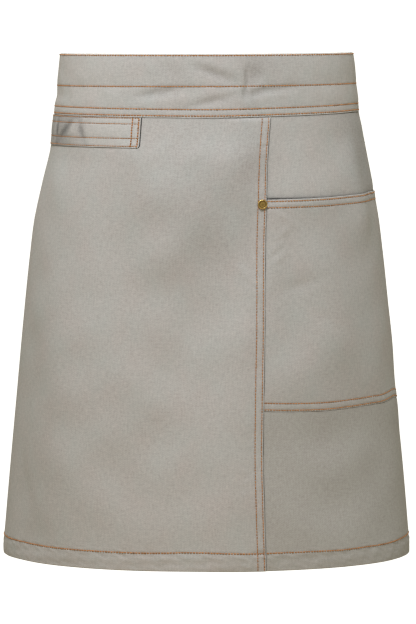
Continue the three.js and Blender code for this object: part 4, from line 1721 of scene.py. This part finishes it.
@dataclass
class Waistband(ClothPiece):
    """One strip folded over at the top, with the panels' tops tucked into it."""

    name: str = "waistband_cloth"
    node: str = "waistband"
    held: Held = Held.FOLDED
    rests_on: tuple[str, ...] = ("front_panel", "side_panel")
    coarse: float = 2.1
    style: StitchStyle = StitchStyle(2.85, 2.9, 0.63, 0.35)
    puff: float = 0.7
    rows: tuple[float, ...] = (31.5, 53.9, 60.1)
    top_row_turn: float = 9.0
    end_row: float = 3.0
    mid_drop: float = 30.0  # where the strip is measured for its columns
    outer_line: float = GAP + CLOTH / 2
    inner_line: float = -CLOTH - GAP - CLOTH / 2
    waves: Ripples = Ripples(23, 6.0, 18.0)
    slack: Ripples = Ripples(29, 22.0, 60.0)
    pucker: float = 0.1
    slackness: float = 0.16
    # Painted shade in the dents.
    dent_painted_shade: float = 0.12
    fold_wear: float = 2.2  # how far the top fold is rubbed

    @property
    def fold_radius(self) -> float:
        """The radius of the strip's middle line where it folds over."""
        return (self.outer_line - self.inner_line) / 2

    @property
    def fold_drop(self) -> float:
        """The drop of the fold's centre."""
        return self.fold_radius + CLOTH / 2

    @property
    def leg(self) -> float:
        """The length of the strip on each side of the fold."""
        return self.form.band_height - self.fold_drop

    @property
    def total(self) -> float:
        """The length of the strip, over the fold."""
        return 2 * self.leg + math.pi * self.fold_radius

    def relief(self, angle: Grid, drop: Grid) -> Grid:
        """The outer layer's relief.

        It swells as half a sine wave between the fold and each row of stitching. Dents push it in, and
        ripples and puckers are added.
        """
        across = angle * MM_PER_DEGREE
        edges = (0.0, *self.rows, self.form.band_height)
        swell = sum(
            self.puff * min(1.0, (high - low) / self.rows[0]) * arch(drop, low, high)
            for low, high in zip(edges[:-1], edges[1:])
        )
        pucker = self.pucker * self.waves(across, drop * 0.4) * bell(drop - 58, 9.0)
        slack = self.slackness * self.slack(across, drop * 1.3) * arch(drop, 4.0, self.rows[1])
        pushed = np.minimum(dents(angle, drop, BAND_DENTS), self.puff + CLOTH)
        level = smoothstep(drop, self.fold_drop, self.fold_drop + 4)
        return swell + (groove(drop, self.rows) + pucker + slack - pushed) * level

    def crease(self, angle: Grid, drop: Grid) -> Grid:
        """Painted shade in the dents, patches of painted shade and light, and painted light over the hips,
        more so over the right one.
        """
        # Painted light: paler over the hips, more so over the right one.
        rubbed = lerp(0.07, 0.13, smoothstep(angle, -10.0, 10.0))
        rubbed = rubbed * window(np.abs(angle), 25.0, 52.0, 85.0, 110.0)
        dented = np.clip(dents(angle, drop, BAND_DENTS), 0, 2)
        return self.dent_painted_shade * dented + dents(angle, drop, BAND_PAINTED_LIGHT_AND_SHADE) - rubbed

    def strip(self, angle: Grid, along: Grid, aside: Grid | float) -> Grid:
        """Points of the strip, from the inside's lower edge up, over the fold and down the outside.

        Args:
            angle: Angles round the waist.
            along: Lengths along the strip's middle line.
            aside: Distance off that line, positive on the strip's outer face.

        Returns:
            Points.
        """
        arc = math.pi * self.fold_radius
        turn = math.pi - np.clip((along - self.leg) / self.fold_radius, 0.0, math.pi)
        below = np.maximum(self.leg - along, 0.0) + np.maximum(along - self.leg - arc, 0.0)
        middle = (self.outer_line + self.inner_line) / 2
        height = middle + self.fold_radius * np.cos(turn)
        drop = self.fold_drop - self.fold_radius * np.sin(turn) + below
        height = height + np.where(along > self.leg + arc, self.relief(angle, drop), 0.0)
        return self.form.place(angle, drop - np.sin(turn) * aside, height + np.cos(turn) * aside)

    def width_at(self, drop: float) -> float:
        """The strip's width round the waist at a drop."""
        span = self.form.band_end_angle
        return self.form.girth(-span, span, np.array([[drop]]), 400)[0]

    def build(self) -> bpy.types.Object:
        """Makes the strip. Its two faces roll together at its rim.

        Returns:
            The object.
        """
        span = self.form.band_end_angle
        outside = self.total - self.form.band_height
        spots = [self.leg, self.leg + 2, self.leg + 4, *(outside + row for row in self.rows)]
        along_line = graded(self.total, [0.0, self.total, *spots], self.fine, self.coarse)
        girth = self.width_at(self.mid_drop)
        sharp = [dent.angle for dent in BAND_DENTS if dent.half_length < self.coarse * 2]
        spots = [(angle + span) / (2 * span) * girth for angle in sharp]
        angle_line = graded(girth, [0.0, girth, *spots], self.fine, self.coarse) / girth * 2 * span - span
        along = np.repeat(along_line[:, None], len(angle_line), axis=1)
        angle = np.repeat(angle_line[None], len(along_line), axis=0)
        across = path_along(self.strip(angle, along, 0.0), 1)
        rim = rim_distance(across, along)
        off = CLOTH / 2 * rim_roll(rim, CLOTH / 2)
        edge = np.maximum(bell(rim, EDGE_WEAR), bell(along - self.leg - 2, self.fold_wear))
        press = pressed(along - outside, self.rows)
        # Painted light and shade on the strip's outer leg, on both its faces.
        crease = np.where(along > outside, self.crease(angle, along - outside), 0.0)
        grids = ClothFaces(
            self.strip(angle, along, off),
            self.strip(angle, along, -off),
            np.stack([across - across[:, [len(angle_line) // 2]], -along], axis=-1),
            {"edge": (edge, edge), "press": (press, press), "crease": (crease, crease)},
        )
        return cloth_object(self.name, grids)

    def cut(self) -> Cut:
        """The strip's flat cut, in metres."""
        width = self.width_at(self.form.band_height / 2)
        return Cut(width * MM, self.total * MM, width * self.total * MM * MM)

    def outside(self, angle: Grid, drop: Grid) -> Grid:
        """Points of the strip's outer face, outside the fold."""
        along = self.leg + math.pi * self.fold_radius + drop - self.fold_drop
        return self.strip(angle, along, CLOTH / 2)

    def inside(self, angle: Grid, drop: Grid) -> Grid:
        """Points of the strip's outer face, inside the waist."""
        return self.strip(angle, self.form.band_height - drop, CLOTH / 2)

    def stitch_rows(self) -> list[StitchRow]:
        """A row over the top fold, three rows round the band on both faces, and a row down each end."""
        span = self.form.band_end_angle - 1.0
        rows = [self.row_across(row, -span, span, inside) for row in self.rows for inside in (False, True)]
        angle = np.linspace(-span, span, 1600)
        turn = math.radians(self.top_row_turn)
        along = np.full_like(angle, self.leg + (math.pi - turn) * self.fold_radius)
        line = self.strip(angle, along, CLOTH / 2)
        rows.append(StitchRow(line, line - self.strip(angle, along, 0.0), self.style))
        end = span + 1.0 - math.degrees(self.end_row / self.form.sections(self.mid_drop)[2])
        for side in (-end, end):
            rows.append(self.row_down(lambda drop, at=side: np.full_like(drop, at), 3.0, 59.0))
        return rows


class ProfilePoint(NamedTuple):
    """A point of the rivet's profile: radius, height off the front panel, and how polished it is."""

    radius: float
    height: float
    polish: float


@dataclass
class Rivet:
    """A pressed brass rivet through the lap and the pocket: a rolled rim, a sunk ring and a domed middle."""

    form: WornForm
    finish: bpy.types.Material
    name: str = "brass_rivet"
    node: str = "rivet"
    drop: float = 146.0
    inset: float = 3.9
    sides: int = 72
    profile: tuple[ProfilePoint, ...] = (
        ProfilePoint(0.0, -4.7, 0.5),
        ProfilePoint(3.4, -4.7, 0.5),
        ProfilePoint(4.0, -4.6, 0.8),
        ProfilePoint(4.2, -4.35, 0.9),
        ProfilePoint(4.2, -3.9, 0.4),
        ProfilePoint(1.7, -3.9, 0.1),
        ProfilePoint(1.7, 0.35, 0.0),
        ProfilePoint(4.42, 0.35, 0.2),
        ProfilePoint(4.76, 0.5, 0.5),
        ProfilePoint(4.9, 0.85, 0.8),
        ProfilePoint(4.8, 1.3, 1.0),
        ProfilePoint(4.56, 1.6, 1.0),
        ProfilePoint(4.18, 1.76, 1.0),
        ProfilePoint(3.8, 1.72, 0.9),
        ProfilePoint(3.5, 1.6, 0.45),
        ProfilePoint(3.26, 1.5, 0.15),
        ProfilePoint(2.98, 1.48, 0.3),
        ProfilePoint(2.5, 1.51, 0.7),
        ProfilePoint(1.82, 1.54, 0.8),
        ProfilePoint(1.2, 1.56, 0.65),
        ProfilePoint(0.6, 1.57, 0.5),
        ProfilePoint(0.0, 1.57, 0.5),
    )

    def build(self) -> bpy.types.Object:
        """Turns the profile round the way out of the cloth.

        A point is spot + radius x circle + height x way out.

        Returns:
            The object.
        """
        angle = self.form.seam_angle(self.drop, self.inset)
        spot = self.form.place(angle, self.drop, self.form.lap_rise(self.drop))
        across, out = self.form.axes(angle, self.drop, 1.0)
        side = across / np.linalg.norm(across)
        up = np.cross(out, side)
        table = np.asarray(self.profile)
        turn = np.arange(self.sides) * 2 * np.pi / self.sides
        circle = np.cos(turn)[:, None] * side + np.sin(turn)[:, None] * up
        body, ends = table[1:-1], table[[0, -1]]
        rings = spot + body[:, 0, None, None] * circle + body[:, 1, None, None] * out
        points = np.concatenate([rings.reshape(-1, 3), spot + ends[:, 1, None] * out])
        faces = [part[:, ::-1] for part in tube_faces(len(body), self.sides)]
        piece = mesh_object(self.name, points, faces)
        add_tone(piece, "polish", np.concatenate([np.repeat(body[:, 2], self.sides), ends[:, 2]]))
        return piece

    def dress(self) -> None:
        """Builds the rivet, gives it its finish and hands it to the frame."""
        piece = self.build()
        piece.data.materials.append(self.finish)
        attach(piece, BODY)
        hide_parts(self.node)
        LOG.info("%s: %d faces", piece.name, len(piece.data.polygons))


class SoftBox(NamedTuple):
    """A soft light: where it stands, where it points, its size in metres, its power and its colour."""

    name: str
    place: tuple[float, float, float]
    aim: tuple[float, float, float]
    size: float
    power: float
    colour: str


@dataclass
class Studio:
    """A pale floor, a white surround, soft lights and the camera. Lengths are in metres."""

    floor_drop: float = 1.05
    floor_size: float = 16.0
    surround: float = 11.0
    surround_grid: tuple[int, int] = (20, 49)  # rows up the wall and columns round it
    daylight: str = "#fff8e2"
    daylight_strength: float = 0.395
    boxes: tuple[SoftBox, ...] = (
        SoftBox("key_light", (-0.13, -1.5, 2.0), (0.0, -0.1, -0.22), 0.8, 65.5, "#e9eeff"),
        SoftBox("left_fill", (-0.55, -0.4, 0.6), (-0.1, 0.0, 0.0), 0.4, 2.3, "#f2f4ff"),
        SoftBox("right_fill", (1.1, -0.9, -0.35), (0.0, 0.0, -0.4), 0.8, 1.5, "#f6f6ff"),
        SoftBox("low_fill", (-0.2, -0.9, -0.95), (-0.05, -0.15, -0.45), 0.6, 1.25, "#ffd2b0"),
        SoftBox("back_fill", (0.0, 1.7, 0.7), (0.0, 0.0, -0.2), 0.6, 16.0, "#f4f4fa"),
    )
    camera_place: tuple[float, float, float] = (0.0, -3.7, 0.035)
    camera_pitch: float = 4.555
    lens: float = 213.03
    sensor: float = 36.0
    shift_x: float = 0.0027

    def build(self) -> None:
        """Makes the surroundings, the lights and the camera."""
        self._surround()
        for box in self.boxes:
            self._light(box)
        self._camera()
        scene = bpy.context.scene
        scene.view_settings.view_transform = "Standard"
        scene.cycles.denoising_prefilter = "NONE"  # keeps single stitches and the weave sharp
        scene.cycles.filter_width = 1.3  # a narrow pixel filter, for the same reason
        world = bpy.data.worlds.new("daylight")
        world.use_nodes = True
        background = world.node_tree.nodes["Background"]
        background.inputs["Color"].default_value = linear(self.daylight)
        background.inputs["Strength"].default_value = self.daylight_strength
        scene.world = world

    def _surround(self) -> None:
        """A flat floor, and a round wall and ceiling that only the camera sees.

        The wall is a half sphere: radius x (cos rise x cos turn, cos rise x sin turn, sin rise). It starts
        below the floor and ends just short of the top.
        """
        half = self.floor_size / 2 / MM
        low = -self.floor_drop / MM
        corners = np.array([[-half, -half, low], [half, -half, low], [half, half, low], [-half, half, low]])
        floor = mesh_object("floor", corners, [np.array([[0, 1, 2, 3]])])
        floor.data.materials.append(StudioPaper("white_paper").material())
        rows, columns = self.surround_grid
        turn = np.linspace(0, 2 * np.pi, columns)[None, :]
        rise = np.linspace(-0.4, 0.5 * np.pi - 0.01, rows)[:, None]
        shape = np.broadcast_arrays(np.cos(rise) * np.cos(turn), np.cos(rise) * np.sin(turn), np.sin(rise))
        points = np.stack(shape, axis=-1).reshape(-1, 3) * self.surround / MM
        wall = mesh_object("surround", points, [quads_of(np.arange(len(points)).reshape(rows, columns))])
        wall.data.materials.append(StudioPaper("lit_paper").material())
        for piece in (floor, wall):
            piece.visible_diffuse = False
            piece.visible_glossy = False
        wall.visible_shadow = False

    @staticmethod
    def _light(box: SoftBox) -> None:
        """Makes one square soft light."""
        lamp = bpy.data.lights.new(box.name, "AREA")
        lamp.size = box.size
        lamp.energy = box.power
        lamp.color = linear(box.colour)[:3]
        piece = bpy.data.objects.new(box.name, lamp)
        piece.location = box.place
        piece.visible_camera = False
        piece.rotation_euler = (Vector(box.aim) - Vector(box.place)).to_track_quat("-Z", "Y").to_euler()
        bpy.context.scene.collection.objects.link(piece)

    def _camera(self) -> None:
        """Makes the camera, level with the waist and tipped down a little."""
        camera = bpy.data.cameras.new("camera")
        camera.lens = self.lens
        camera.sensor_width = self.sensor
        camera.shift_x = self.shift_x
        piece = bpy.data.objects.new("camera", camera)
        piece.location = self.camera_place
        piece.rotation_euler = (math.radians(90.0 - self.camera_pitch), 0.0, 0.0)
        bpy.context.scene.collection.objects.link(piece)
        bpy.context.scene.camera = piece


def main() -> None:
    """Builds the apron's pieces in order, then the studio."""
    logging.basicConfig(level=logging.INFO, format="%(name)s %(message)s")
    form = WornForm()
    twill = CottonTwill("cotton_twill", "#a3a69e", "#b3aaa1").material()
    shade_twill = CottonTwill("cotton_twill_shade", "#a1a096", "#a7a299").material()
    thread = TopstitchThread().material()
    loop = TowelLoop(form, twill, thread)
    pieces = [
        Waistband(form, twill, thread),
        FrontPanel(form, twill, thread, loop=loop),
        SidePanel(form, twill, thread),
        LowerPanel(form, shade_twill, thread),
        PatchPocket(form, twill, thread),
        loop,
        BackTie(form, twill, thread),
        Rivet(form, AntiqueBrass().material()),
    ]
    for piece in pieces:
        piece.dress()
    Studio().build()


if __name__ == "__main__":
    main()
